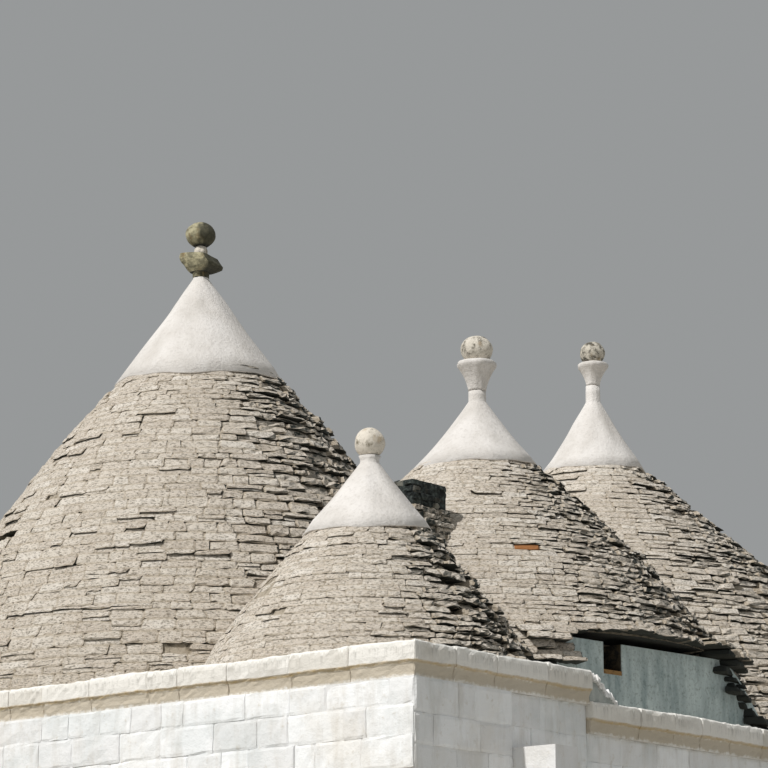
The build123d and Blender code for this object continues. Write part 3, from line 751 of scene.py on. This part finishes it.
# The slabs of one cone. Each is a stone whose run is its angle round the axis times the radius.
def layCourses(name):
    cone = cones[name]
    rng = np.random.default_rng(cone["seed"])
    slabs = cutSlabs(rng, cone)
    turn, level = (slabs[0] + slabs[1]) / 2, (slabs[2] + slabs[3]) / 2
    keep, proud, shadeBlackened = sortSlabs(rng, name, turn, level, slabs[4])
    start, end, low, high, radius = slabs[:, keep]
    middle = (start + end) / 2
    number = len(middle)
    wander = wandering(rng, middle, low)
    rugged = cone["smooth"] + (slateCourse["roughest"] - cone["smooth"]) * towardsShade(middle) ** 1.2
    closing = overlap(slateShape, rugged)
    low = low + wander + rugged * np.abs(rng.normal(0, slateCourse["bedSpread"], number)) - closing / 2
    high = high + wander - rugged * np.abs(rng.normal(0, slateCourse["topSpread"], number)) + closing / 2
    face = rng.normal(0.002, slateCourse["faceSpread"], number) * rugged + proud[keep]
    chance = rng.random(number)
    face = face + slateCourse["proud"] * rugged * (chance < slateCourse["proudShare"])
    face = face - slateCourse["sunk"] * rugged ** 1.5 * (chance > 1 - slateCourse["sunkShare"] * rugged ** 2)
    lean = np.clip(flankLean(cone, (low + high) / 2), 0, 1.3) * cone["leanShare"]
    face = face + lean * (high - low) / 2
    shapes = stoneShapes(rng, start * radius, end * radius, low, high, face, -slateCourse["deep"], lean,
                         slateShape, rugged)
    turn = shapes[..., 0] / radius[:, None, None]
    out = radius[:, None, None] + shapes[..., 1]
    points = np.stack([cone["x"] + out * np.cos(turn), cone["y"] + out * np.sin(turn), shapes[..., 2]], -1)
    # painted shade: the marked slabs take the black tone
    tone = np.where(shadeBlackened[keep], shadeBlackTone, rng.random(number))
    if name == claySlab["cone"]:
        away = runTo(middle, claySlab["turn"], radius)
        away = away + 3 * np.abs((low + high) / 2 - copingLevel - claySlab["level"]) + (end - start) * radius
        tone[np.argmin(away)] = claySlab["tone"]
    stonePiece(name + "Slates", points, slate, tone)
    print("laid", number, "slabs on the", name, "cone")


for name in cones:
    layCourses(name)


# The rubble behind the slates, with the corbelled dome under it

coreShape = {"behind": 0.026, "behindShade": 0.090, "segments": 200, "relief": 0.006, "levels": 44,
             "hollowSide": 0.1, "hollowRise": 0.05, "clear": 0.05, "behindWall": 0.02}
window = {"along": -0.52, "half": 0.2, "low": 0.5, "innerEnd": 1.25}
# The half width of each dome's room and the dome's rise
domes = {"great": (1.70, 2.78), "corner": (0.80, 1.00), "middle": (1.30, 2.48), "back": (2.00, 3.23)}
domeRings = 8
topStone = 0.12


# Radius of a dome's inside at a share of its height, by the same power curve as the flanks
def domeRadius(room, share):
    return room + (topStone - room) * np.clip(share, 0, 1) ** 1.5


# One closed surface: down the steps of the dome's rings, out along the roof bed and up behind the slates.
# Where it would stand in a neighbour's dome or before the plastered wall, it is pushed back.
def layCore(name):
    cone = cones[name]
    rng = np.random.default_rng(cone["seed"] + 4)
    room, rise = domes[name]
    turn = headings(coreShape["segments"])
    shares = np.linspace(1, 0, domeRings + 1)
    inner = np.repeat(domeRadius(room, shares[1:]), 2)
    innerLevel = bedLevel + rise * np.stack([shares[:-1], shares[1:]], 1).ravel()
    outerLevel = np.linspace(bedLevel, cone["seatLevel"], coreShape["levels"])
    outerLevel = np.sort(np.append(outerLevel, [eaveLevel - 0.002, eaveLevel]))[:, None]
    behind = coreShape["behind"] + (coreShape["behindShade"] - coreShape["behind"]) * towardsShade(turn)
    outer = flankRadius(cone, outerLevel) - behind
    uneven = ripples(rng, 3 * turn, 2 * outerLevel, coreShape["relief"])
    for hollow in hollows:
        if name == hollow["cone"]:
            radius = flankRadius(cone, hollow["level"] + copingLevel)
            outer = outer - hollow["depth"] * within(hollow, turn, radius, outerLevel,
                                                     coreShape["hollowSide"], coreShape["hollowRise"])
    grid = np.concatenate([np.repeat(inner[:, None], len(turn), 1), outer + uneven])
    level = np.repeat(np.concatenate([innerLevel, outerLevel[:, 0]])[:, None], len(turn), 1)
    x, y = cone["x"] + grid * np.cos(turn), cone["y"] + grid * np.sin(turn)
    for other, body in cones.items():
        if other != name:
            otherRoom, otherRise = domes[other]
            away = np.hypot(x - body["x"], y - body["y"])
            clear = domeRadius(otherRoom, (level - bedLevel) / otherRise) + coreShape["clear"]
            push = np.where(level < bedLevel + otherRise, np.maximum(clear / away, 1), 1)
            x = body["x"] + (x - body["x"]) * push
            y = body["y"] + (y - body["y"]) * push
    if name == "middle":
        opening = np.abs(alongWall(x, y) - window["along"]) < window["half"]
        opening &= level > copingLevel + window["low"]
        inside = eaveWall["face"] - eaveWall["thickness"] - coreShape["behindWall"]
        beyond = np.maximum(outOfWall(x, y) - np.where(opening, window["innerEnd"], inside), 0)
        beyond = beyond * (level < eaveLevel - 0.001) * beforeWall(x, y, level)
        x, y = x - beyond * wallOut[0], y - beyond * wallOut[1]
    piece = roundPiece(name + "Core", np.stack([x, y, level], -1), rubble, smooth=False)
    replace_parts(piece, name + "_cone")


for name in cones:
    layCore(name)


# White caps, capitals and balls

# neck is a radius, collar the share of it that the neck's top has, and hollow the depth of the cap's curve
caps = {
    "great": {"neck": 0.072, "neckHeight": 0.015, "collar": 0.98, "hollow": 0.006, "hang": 0.07, "sag": 0.03,
              "lean": -0.018},
    "corner": {"neck": 0.078, "neckHeight": 0.06, "collar": 1.16, "hollow": 0.008, "hang": 0.04, "sag": 0.04},
    "middle": {"neck": 0.088, "neckHeight": 0.11, "collar": 0.98, "hollow": 0.018, "hang": 0.05, "sag": 0.10},
    "back": {"neck": 0.082, "neckHeight": 0.19, "collar": 0.98, "hollow": 0.012, "hang": 0.04, "sag": 0.04},
}
capShape = {"lip": 0.006, "lipDrop": 0.032, "lipSpread": 0.022, "lipRelief": 0.004, "relief": 0.011,
            "fade": 0.15, "segments": 120, "rings": 34, "bunching": 0.9}
capitalShape = {"lip": 0.042, "chamfer": 0.015, "relief": 0.013, "topRelief": 0.007, "segments": 48,
                "rings": 12}
ballShape = {"foot": -1.035, "top": 1.52, "heightShare": 1.86, "relief": 0.008, "rise": 0.35, "segments": 40,
             "rings": 20}  # foot and top are the angles over its middle, in radians, where it begins and ends


# A cap's plan centre at a height: the great cone's top leans a little to the camera's left
def leaning(name, level):
    cone = cones[name]
    share = np.clip((level - cone["seatLevel"]) / (cone["capTop"] - cone["seatLevel"]), 0, 1.4)
    lean = viewRight * caps[name].get("lean", 0)
    return cone["x"] + lean[0] * (0.8 + share), cone["y"] + lean[1] * (0.8 + share)


# One round piece on a cone from its radii and levels, in place of a frame node. pull moves its rings to the
# camera's right.
def turnedPiece(piece, node, name, radius, level, material, smooth=True, pull=0.0):
    turn = headings(radius.shape[1])
    x, y = leaning(name, level)
    x = x + radius * np.cos(turn) + viewRight[0] * pull
    y = y + radius * np.sin(turn) + viewRight[1] * pull
    grid = np.stack([x, y, np.broadcast_to(level, x.shape)], -1)
    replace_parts(roundPiece(piece, grid, material, smooth), node)


# A cap: its radius falls from foot to neck along a parabola under the straight line. Its lip wavers, and
# hangs over the slates by hang towards the camera and by sag on the camera's left.
def layCap(name):
    cone, cap = cones[name], caps[name]
    rng = np.random.default_rng(cone["seed"] + 1)
    turn = headings(capShape["segments"])
    foot, neck, top = cone["capFoot"], cap["neck"], cone["capTop"]
    low, high = cone["seatLevel"], top - cap["neckHeight"]
    share = np.linspace(0, 1, capShape["rings"])[3:] ** capShape["bunching"]  # the lip has the first rings
    radius = foot + (neck - foot) * share - 4 * cap["hollow"] * share * (1 - share)
    radius = np.concatenate([radius, [neck, neck * cap["collar"], neck * 0.6]])[:, None]
    level = low + (high - low) * share
    level = np.concatenate([level, [high + cap["neckHeight"] * 0.5, top - 0.004, top + 0.002]])[:, None]
    fade = np.clip((radius - neck) / capShape["fade"], 0.25, 1)
    radius = radius + ripples(rng, turn, level, capShape["relief"]) * fade
    hang = cap["hang"] * np.maximum(0, np.cos(turn - towardsCamera)) ** 2
    hang = hang + ripples(rng, turn, 0.0, capShape["lipSpread"])
    hang = hang + cap["sag"] * np.maximum(0, np.cos(turn - viewAzimuth - math.pi)) ** 2
    lipLevel = low - capShape["lipDrop"] - hang
    lip = flankRadius(cone, lipLevel) + capShape["lip"] + ripples(rng, 5 * turn, 0.0, capShape["lipRelief"])
    radius = np.concatenate([[lip - 0.08, lip - 0.008, lip], radius])
    level = np.repeat(level, len(turn), 1)
    level = np.concatenate([[lipLevel + 0.02, lipLevel - 0.002, lipLevel + 0.006], level])
    turnedPiece(name + "CapPlaster", name + "_cap", name, radius, level, capPlaster)


# A flared capital: from its neck it swells by the square of the height's share up to its lip
def layCapital(name):
    rng = np.random.default_rng(cones[name]["seed"] + 2)
    low, high = boxOf(name + "_capital")
    rim, neck, foot, top = (high[0] - low[0]) / 2, caps[name]["neck"], low[2], high[2]
    turn = headings(capitalShape["segments"])
    share = np.linspace(0, 1, capitalShape["rings"])
    radius = neck + (rim - neck) * (0.35 * share + 0.65 * share ** 2)
    radius = np.concatenate([radius, [rim, rim - capitalShape["chamfer"], rim * 0.55]])[:, None]
    level = foot + (top - capitalShape["lip"] - foot) * share
    level = np.concatenate([level, [top - 0.014, top, top + 0.001]])[:, None]
    uneven = ripples(rng, turn, level, capitalShape["relief"]) * np.clip(radius / rim, 0.5, 1)
    level = level + ripples(rng, turn, 0.0, capitalShape["topRelief"]) * np.clip(radius / rim - 0.5, 0, 1)
    turnedPiece(name + "CapitalPlaster", name + "_capital", name, radius + uneven, level, capPlaster)


# A ball: an ellipsoid with its foot cut off flat, dented by ripples
def layBall(name):
    rng = np.random.default_rng(cones[name]["seed"] + 3)
    low, high = boxOf(name + "_ball")
    half = (high[2] - low[2]) / ballShape["heightShare"]
    turn = headings(ballShape["segments"])
    rise = np.linspace(ballShape["foot"], ballShape["top"], ballShape["rings"])
    rise = np.concatenate([[ballShape["foot"]], rise])[:, None]
    bow = np.cos(rise)
    bow[0] = bow[1] * 0.5
    radius = (high[0] - low[0]) / 2 * bow
    radius = radius + ripples(rng, turn, rise * ballShape["rise"], ballShape["relief"]) * bow
    level = high[2] - half + half * np.sin(rise)
    level = level + ripples(rng, turn, rise * ballShape["rise"], ballShape["relief"] / 2) * bow
    turnedPiece(name + "BallStone", name + "_ball", name, radius, level, materialOf[name + "_ball"])


# The great cone's block from its foot to its top: shares of its height, its half width there and how far it
# is pulled to the camera's right, as the weather left it. It is round up to roundTo, and square above.
weatheredBlock = {
    "share": [0, 0.1, 0.22, 0.235, 0.32, 0.42, 0.55, 0.68, 0.8, 0.9, 0.98, 1.0],
    "half": [0.074, 0.074, 0.076, 0.088, 0.115, 0.140, 0.150, 0.152, 0.150, 0.146, 0.138, 0.07],
    "pull": [0, 0, 0, 0, 0.012, 0.026, 0.022, 0.0, -0.014, -0.022, -0.024, -0.02],
    "roundTo": 0.23,
    "squareness": 5.0,
    "turned": 14,
    "topSlope": 0.016,
    "relief": 0.009,
    "segments": 56,
    "seed": 77,
}
# The small stone under the great ball, rounded at its shoulder
seatStone = {"share": [0, 0.02, 0.25, 0.5, 0.7, 0.85, 0.95, 1.0], "relief": 0.005, "segments": 28,
             "bow": [0.8, 0.98, 1.04, 1.03, 0.95, 0.84, 0.7, 0.5], "rise": 0.3, "seed": 78}


# Rounded squares of growing size on a round stem. A rounded square's radius is its half width over the norm
# of the turn's cosine and sine, with squareness as its power.
def layBlock():
    shape = weatheredBlock
    rng = np.random.default_rng(shape["seed"])
    low, high = boxOf("great_capital")
    turn = headings(shape["segments"])
    share, half, pull = (np.array(shape[key])[:, None] for key in ("share", "half", "pull"))
    power = np.where(share < shape["roundTo"], 2.0, shape["squareness"])
    local = turn - math.radians(shape["turned"])
    norm = (np.abs(np.cos(local)) ** power + np.abs(np.sin(local)) ** power) ** (1 / power)
    level = low[2] + (high[2] - low[2]) * share
    radius = half / norm + ripples(rng, turn, level, shape["relief"])
    slope = shape["topSlope"] * np.cos(turn - viewAzimuth) * np.clip(radius / 0.15, 0, 1) * (share > 0.9)
    turnedPiece("greatCapitalStone", "great_capital", "great", radius, level - slope, oliveLichen,
                smooth=False, pull=pull)


def laySeatStone():
    shape = seatStone
    rng = np.random.default_rng(shape["seed"])
    low, high = boxOf("great_seat_stone")
    share, bow = np.array(shape["share"])[:, None], np.array(shape["bow"])[:, None]
    uneven = ripples(rng, headings(shape["segments"]), share * shape["rise"], shape["relief"])
    radius = (high[0] - low[0]) / 2 * bow + uneven
    level = low[2] + (high[2] - low[2]) * share
    turnedPiece("greatSeatStone", "great_seat_stone", "great", radius, level, paleLichen)


for name in cones:
    layCap(name)
    layBall(name)
layCapital("middle")
layCapital("back")
layBlock()
laySeatStone()
print("caps, capitals and balls made")


# Rugged copings along the walls

copingShape = {
    "meanLength": 0.55,
    "lengthSpread": 0.35,
    "out": [-0.13, 0.0, 0.002, 0.004, 0.009, 0.022, 0.031, 0.034, 0.033, 0.028, 0.014, -0.05, -0.13],
    "up": [0.0, 0.0, 0.03, 0.058, 0.085, 0.107, 0.114, 0.16, 0.21, 0.243, 0.257, 0.26, 0.26],
    "stations": [0, 0.015, 0.06, 0.16, 0.27, 0.38, 0.5, 0.62, 0.73, 0.84, 0.94, 0.985, 1],
    "gap": 0.003,
    "endPull": 0.006,
    "rough": 0.0025,
    "topRough": 0.0028,
    "coveRough": 0.002,
    "stoneSpread": 0.003,
    "seed": 201,
}
frontJoints = [4.324, 4.958, 5.278, 5.789, 6.426, 7.002]  # metres from the left end of the front wall
# One coping over each side of the plan, with its level and mitres: 1 at an outer corner, -1 at an inner one
copings = {
    "front_coping": (copingLevel, 1, 1),
    "right_coping": (copingLevel, 1, 0),
    "annex_coping": (lowCopingLevel, 0, 1),
    "annex_end_coping": (lowCopingLevel, 1, 0),
    "back_coping": (copingLevel, 0, 1),
    "left_coping_back": (copingLevel, 1, 1),
    "left_coping_step": (copingLevel, 1, -1),
    "left_coping_front": (copingLevel, -1, 1),
}


# Coping stones with a cove under them, cut from one profile. At a corner each point of the profile moves
# along the run by its own distance outwards, which makes the mitre. Faces and tops follow two sine waves.
def copingRun(node, start, end, top, startMitre, endMitre, seed, joints=()):
    rng = np.random.default_rng(seed)
    *place, length = wallPlace(start, end)
    firstEnd = joints[0] if joints else length
    marks = splitRun(rng, 0, firstEnd, copingShape["meanLength"], copingShape["lengthSpread"])
    if joints:
        marks = np.concatenate([marks[:-1], joints, [length]])
    out, up, stations = (np.array(copingShape[key]) for key in ("out", "up", "stations"))
    count, steps = len(marks) - 1, len(stations)
    shape = (count, steps, len(out))
    first, last = marks[:-1] + copingShape["gap"] / 2, marks[1:] - copingShape["gap"] / 2
    along = (first[:, None] + (last - first)[:, None] * stations)[..., None]
    mitre = np.zeros(shape)
    mitre[0] -= startMitre * out * (1 - stations)[:, None]
    mitre[-1] += endMitre * out * stations[:, None]
    onFace = (out > 0.001).astype(float)
    onTop = np.clip((up - 0.2) / 0.05, 0, 1)
    pull = np.zeros((steps, 1))
    pull[[0, -1]] = copingShape["endPull"]
    wave = 0.004 * np.sin(along * 3.1 + rng.uniform(0, 6)) + 0.002 * np.sin(along * 7.3 + rng.uniform(0, 6))
    ownPlace = (count, 1, 1)
    out = out + onFace * (rng.normal(0, copingShape["rough"], shape)
                          + rng.normal(0, copingShape["stoneSpread"], ownPlace) + 0.6 * wave - pull)
    crest = up.max()
    up = up + onTop * (rng.normal(0, copingShape["topRough"], shape)
                       + rng.normal(0, copingShape["stoneSpread"], ownPlace) + wave - 0.8 * pull)
    up = up + onFace * (1 - onTop) * rng.normal(0, copingShape["coveRough"], shape)
    points = onRun(np.stack([along + mitre, out, top - crest + up], -1), *place)
    material = highCoping if top == copingLevel else lowCoping
    piece = stonePiece(node + "Stones", points, material, rng.random(count))
    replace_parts(piece, node)


for number, (node, (top, startMitre, endMitre)) in enumerate(copings.items()):
    joints = frontJoints if node == "front_coping" else ()
    copingRun(node, plan[number], plan[(number + 1) % len(plan)], top, startMitre, endMitre,
              copingShape["seed"] + number, joints)


copingRamp = {"reach": 0.07, "steps": 13, "foot": 0.02, "power": 1.15, "topRough": 0.009, "sideRough": 0.005,
              "crestRough": 0.006, "across": [0, 1, 1, 0.8, 0.6, 0.4, 0.2, 0],
              "rise": [0, 0, 0.55, 1, 1, 1, 1, 1], "lumps": 14, "beyond": 0.04, "lumpFoot": 0.035,
              "lumpRise": (0.006, 0.03), "lumpOut": (0.012, 0.034), "lumpLean": 0.3, "tone": 0.8, "seed": 211}
lumpShape = {"stations": [0, 0.2, 0.5, 0.8, 1], "faceUp": [0.3, 0.7], "edge": 0.008, "corner": 0.2,
             "gap": 0.001, "slant": 0.004, "endPull": 0.008, "rough": 0.003, "tilt": 0.1, "waver": 0.003}


# Lumpy ramp of plastered rubble from the high coping down to the low one. Its height falls along the run
# by a power of the share, with random lumps. A ridge of white lumps runs along its outer edge.
def layRamp():
    shape = copingRamp
    rng = np.random.default_rng(shape["seed"])
    low, high = boxOf("coping_ramp")
    run, foot, steps = high[1] + shape["reach"] - low[1], low[2] + shape["foot"], shape["steps"]
    share = np.linspace(0, 1, steps)
    fall = foot + (high[2] - foot) * (1 - share ** shape["power"])
    fall = fall + rng.normal(0, shape["topRough"], steps) * (share > 0)
    rise = np.array(shape["rise"])
    across = low[0] + (high[0] - low[0]) * np.array(shape["across"])
    shell = (steps, len(rise))
    x = across + rng.normal(0, shape["sideRough"], shell) * (rise > 0)
    y = np.broadcast_to((low[1] + run * share)[:, None], shell)
    z = low[2] - 0.01 + (fall - low[2] + 0.01)[:, None] * rise
    z = z + rng.normal(0, shape["crestRough"], shell) * (rise > 0)
    grid = np.stack([x, y, z], -1)[None]
    piece = stonePiece("copingRampRubble", grid, rampPlasterShadeAndHighlight, np.array([shape["tone"]]))
    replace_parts(piece, "coping_ramp")
    count = shape["lumps"]
    marks = np.linspace(0, run + shape["beyond"], count + 1)
    ridge = np.interp((marks[:-1] + marks[1:]) / 2 / run, share, fall)
    lumps = stoneShapes(rng, marks[:-1], marks[1:], ridge - shape["lumpFoot"],
                        ridge + rng.uniform(*shape["lumpRise"], count), rng.uniform(*shape["lumpOut"], count),
                        -0.04, shape["lumpLean"], lumpShape)
    points = np.stack([high[0] + lumps[..., 1], low[1] + lumps[..., 0], lumps[..., 2]], -1)
    stonePiece("copingRampRidge", points, block, np.ones(count))


layRamp()
print("copings laid")


# Limewashed blocks on the outer walls

blockCourse = {"height": 0.235, "heightSpread": 0.14, "meanLength": 0.38, "lengthSpread": 0.5,
               "proud": 0.012, "proudSpread": 0.004, "back": -0.05, "recess": 0.04}
blockShape = {"stations": [0, 0.03, 0.2, 0.5, 0.8, 0.97, 1], "faceUp": [0.1, 0.5, 0.9], "edge": 0.006,
              "gap": 0.003, "corner": 0.03, "slant": 0.006, "endPull": 0.006, "rough": 0.0022,
              "tilt": 0.004, "waver": 0.002}
windowOpening = {"half": 0.25, "low": 1.25, "high": 1.87}
archStones = {"number": 11, "height": 0.23, "proud": 0.026, "seed": 121}


# Blocks in courses on the wall from start to end. hole is an opening's start and end along the wall, and
# its low and high level, and courses begin and end at these levels.
def blockWall(name, start, end, top, seed, hole=None):
    rng = np.random.default_rng(seed)
    *place, length = wallPlace(start, end)
    rows = max(1, round(top / blockCourse["height"]))
    edges = top * cutShares(rng, rows, blockCourse["heightSpread"])
    if hole:
        for level in hole[2:]:
            edges[1 + np.argmin(np.abs(edges[1:-1] - level))] = level
    columns = []
    for low, high in zip(edges, edges[1:]):
        cuts = [0.0, length]
        if hole and hole[2] < (low + high) / 2 < hole[3]:
            cuts = [0.0, hole[0], hole[1], length]
        for first, last in zip(cuts[::2], cuts[1::2]):
            marks = splitRun(rng, first, last, blockCourse["meanLength"], blockCourse["lengthSpread"])
            same = np.ones(len(marks) - 1)
            columns.append(np.stack([marks[:-1], marks[1:], low * same, high * same]))
    first, last, low, high = np.concatenate(columns, 1)
    number = len(first)
    face = np.abs(rng.normal(blockCourse["proud"], blockCourse["proudSpread"], number))
    shapes = stoneShapes(rng, first, last, low, high, face, blockCourse["back"], 0, blockShape)
    shapes[..., 2] = np.maximum(shapes[..., 2], 0)
    stonePiece(name, onRun(shapes, *place), block, rng.random(number))


# The hole of a window whose middle is at a place along its wall
def windowHole(middle):
    half = windowOpening["half"]
    return middle - half, middle + half, windowOpening["low"], windowOpening["high"]


sillLow, sillHigh = boxOf("door_sill")
doorHalf = (sillHigh[0] - sillLow[0]) / 2
doorAt = (sillHigh[0] + sillLow[0]) / 2 - cornerX + frontWidth
doorSpring = boxOf("door_arch")[0][2]
doorHole = (doorAt - doorHalf, doorAt + doorHalf, 0.0, doorSpring + doorHalf)
leftWindow = windowHole(leftStep - (cones["great"]["y"] - cornerY))
leftBackWindow = windowHole(houseDepth - (cones["back"]["y"] - cornerY))
backWindow = windowHole(cornerX - cones["back"]["x"] - annexWidth)
recessStart = boxOf("pier")[0][1] - cornerY
recessed = -blockCourse["recess"]
blockWall("frontBlocks", plan[0], plan[1], wallTop, 101, doorHole)
blockWall("rightBlocks", plan[1], (0, recessStart), wallTop, 103)
blockWall("rightRecessBlocks", (recessed, recessStart), (recessed, highEnd), wallTop, 104)
blockWall("annexBlocks", (recessed, highEnd), (recessed, houseDepth), lowWallTop, 105)
blockWall("annexEndBlocks", plan[3], plan[4], lowWallTop, 106)
blockWall("backBlocks", plan[4], plan[5], wallTop, 107, backWindow)
blockWall("leftBackBlocks", plan[5], plan[6], wallTop, 109, leftBackWindow)
blockWall("stepBlocks", plan[6], plan[7], wallTop, 111)
blockWall("leftFrontBlocks", plan[7], plan[0], wallTop, 113, leftWindow)


# Wedge stones round the doorway's arch. A stone's run is the angle over the spring times the arch's
# radius, and its rise is the distance from the arch's edge.
def layVoussoirs():
    rng = np.random.default_rng(archStones["seed"])
    number = archStones["number"]
    marks = np.linspace(0, math.pi * doorHalf, number + 1)
    shapes = stoneShapes(rng, marks[:-1], marks[1:], 0, archStones["height"], archStones["proud"],
                         blockCourse["back"], 0, blockShape)
    turn = math.pi - shapes[..., 0] / doorHalf
    radius = doorHalf + shapes[..., 2]
    x = cornerX - frontWidth + doorAt + radius * np.cos(turn)
    points = np.stack([x, cornerY - shapes[..., 1], doorSpring + radius * np.sin(turn)], -1)
    stonePiece("doorVoussoirs", points, block, rng.random(number))


layVoussoirs()
print("wall blocks laid")


# Rubble on the chimney, and the stones that bed it on the saddle between two cones

chimneyShape = {"stations": [0, 0.1, 0.5, 0.9, 1], "faceUp": [0.25, 0.75], "edge": 0.012, "gap": 0.006,
                "corner": 0.2, "slant": 0.01, "endPull": 0.016, "rough": 0.006, "tilt": 0.05, "waver": 0.004}
chimneyCourse = {"foot": 5.0, "height": 0.062, "length": 0.13, "spread": 0.45, "proud": (0.01, 0.012),
                 "back": -0.06, "seed": 131}
bedding = {"top": 5.66, "standOut": 0.16, "height": 0.06, "length": 0.15}


# Points of stones round a rectangle, in courses from the chimney's foot up to a level. The lowest course
# stands out from the rectangle by standOut, and the ones over it by less and less.
def ringStones(rng, low, high, top, height, standOut, length, shape):
    rows = round((top - chimneyCourse["foot"]) / height)
    edges = np.linspace(chimneyCourse["foot"], top, rows + 1)
    outs = standOut * (1 - np.arange(rows) / rows) ** 0.8
    pieces = []
    for bottom, above, out in zip(edges, edges[1:], outs):
        west, south, east, north = low[0] - out, low[1] - out, high[0] + out, high[1] + out
        corners = [(west, south), (east, south), (east, north), (west, north), (west, south)]
        for first, last in zip(corners, corners[1:]):
            *place, run = runPlace(first, last)
            marks = splitRun(rng, 0, run, length, chimneyCourse["spread"])
            face = rng.normal(*chimneyCourse["proud"], len(marks) - 1)
            shapes = stoneShapes(rng, marks[:-1], marks[1:], bottom, above, face, chimneyCourse["back"], 0,
                                 shape)
            pieces.append(onRun(shapes, *place))
    return np.concatenate(pieces)


def layChimney():
    rng = np.random.default_rng(chimneyCourse["seed"])
    low, high = boxOf("chimney")
    points = ringStones(rng, low, high, high[2], chimneyCourse["height"], 0, chimneyCourse["length"],
                        chimneyShape)
    stonePiece("chimneyRubble", points, chimneyShadeStone, rng.random(len(points)))
    points = ringStones(rng, low, high, bedding["top"], bedding["height"], bedding["standOut"],
                        bedding["length"], slateShape)
    stonePiece("chimneyBedding", points, slate, rng.random(len(points)))


layChimney()
print("chimney laid")


jamb = {"depths": [0.19, 0.10, 0.0, -0.10, -0.19], "half": 0.125, "thickness": 0.012, "sunken": 0.004,
        "height": 0.25, "rings": 7, "rough": 0.003, "tone": 0.5, "seed": 141}


# Lining of the small window in the plastered wall: its far jamb, rough as a hand leaves it
def layReveal():
    rng = np.random.default_rng(jamb["seed"])
    low, high = boxOf("drum_window_sill")
    sideways = np.array([-wallOut[1], wallOut[0]])
    depths = np.array(jamb["depths"] + jamb["depths"][::-1])
    up = np.linspace(high[2], high[2] + jamb["height"], jamb["rings"])
    shape = (len(up), len(jamb["depths"]))
    face = jamb["half"] - jamb["thickness"] + rng.normal(0, jamb["rough"], shape)
    side = np.concatenate([face, np.full(shape, jamb["half"] + jamb["sunken"])], 1)
    flat = (low[:2] + high[:2]) / 2 + depths[None, :, None] * wallOut + side[..., None] * sideways
    grid = np.concatenate([flat, np.broadcast_to(up[:, None, None], (*side.shape, 1))], -1)[None]
    stonePiece("windowJamb", grid, darkJamb, np.array([jamb["tone"]]))


layReveal()
print("window lined")


# Floor and light

light = {
    "sunTowards": (-0.13, -1.0),  # plan direction from the house towards the light
    "sunElevation": 47.0,
    "sunStrength": 3.15,
    "sunAngle": 1.2,
    "sunColour": "#FFFDFA",
    "skyColour": "#D6D9DA",
    "skyStrength": 0.46,
    "floorColour": "#B5B3AD",
    "floorHalf": 150.0,
}


def makeStage():
    mesh = bpy.data.meshes.new("studioFloor")
    size = light["floorHalf"]
    corners = [(-size, -size, 0), (size, -size, 0), (size, size, 0), (-size, size, 0)]
    mesh.from_pydata(corners, [], [(0, 1, 2, 3)])
    floor = bpy.data.objects.new("studioFloor", mesh)
    bpy.context.collection.objects.link(floor)
    material, tree = startMaterial("studioPaper", 0.9, 1.45)[:2]
    tree.nodes["Principled BSDF"].inputs["Base Color"].default_value = colour(light["floorColour"])
    mesh.materials.append(material)


def makeLight():
    x, y = light["sunTowards"]
    data = bpy.data.lights.new("keyLight", "SUN")
    data.energy = light["sunStrength"]
    data.angle = math.radians(light["sunAngle"])
    data.color = colour(light["sunColour"])[:3]
    sun = bpy.data.objects.new("keyLight", data)
    sun.rotation_euler = (math.radians(90 - light["sunElevation"]), 0, math.atan2(x, -y))
    bpy.context.collection.objects.link(sun)
    world = bpy.data.worlds.new("softStudio")
    world.use_nodes = True
    sky = world.node_tree.nodes["Background"]
    sky.inputs["Color"].default_value = colour(light["skyColour"])
    sky.inputs["Strength"].default_value = light["skyStrength"]
    bpy.context.scene.world = world
    bpy.context.scene.view_settings.view_transform = "Standard"


makeStage()
makeLight()
print("stage and light set")
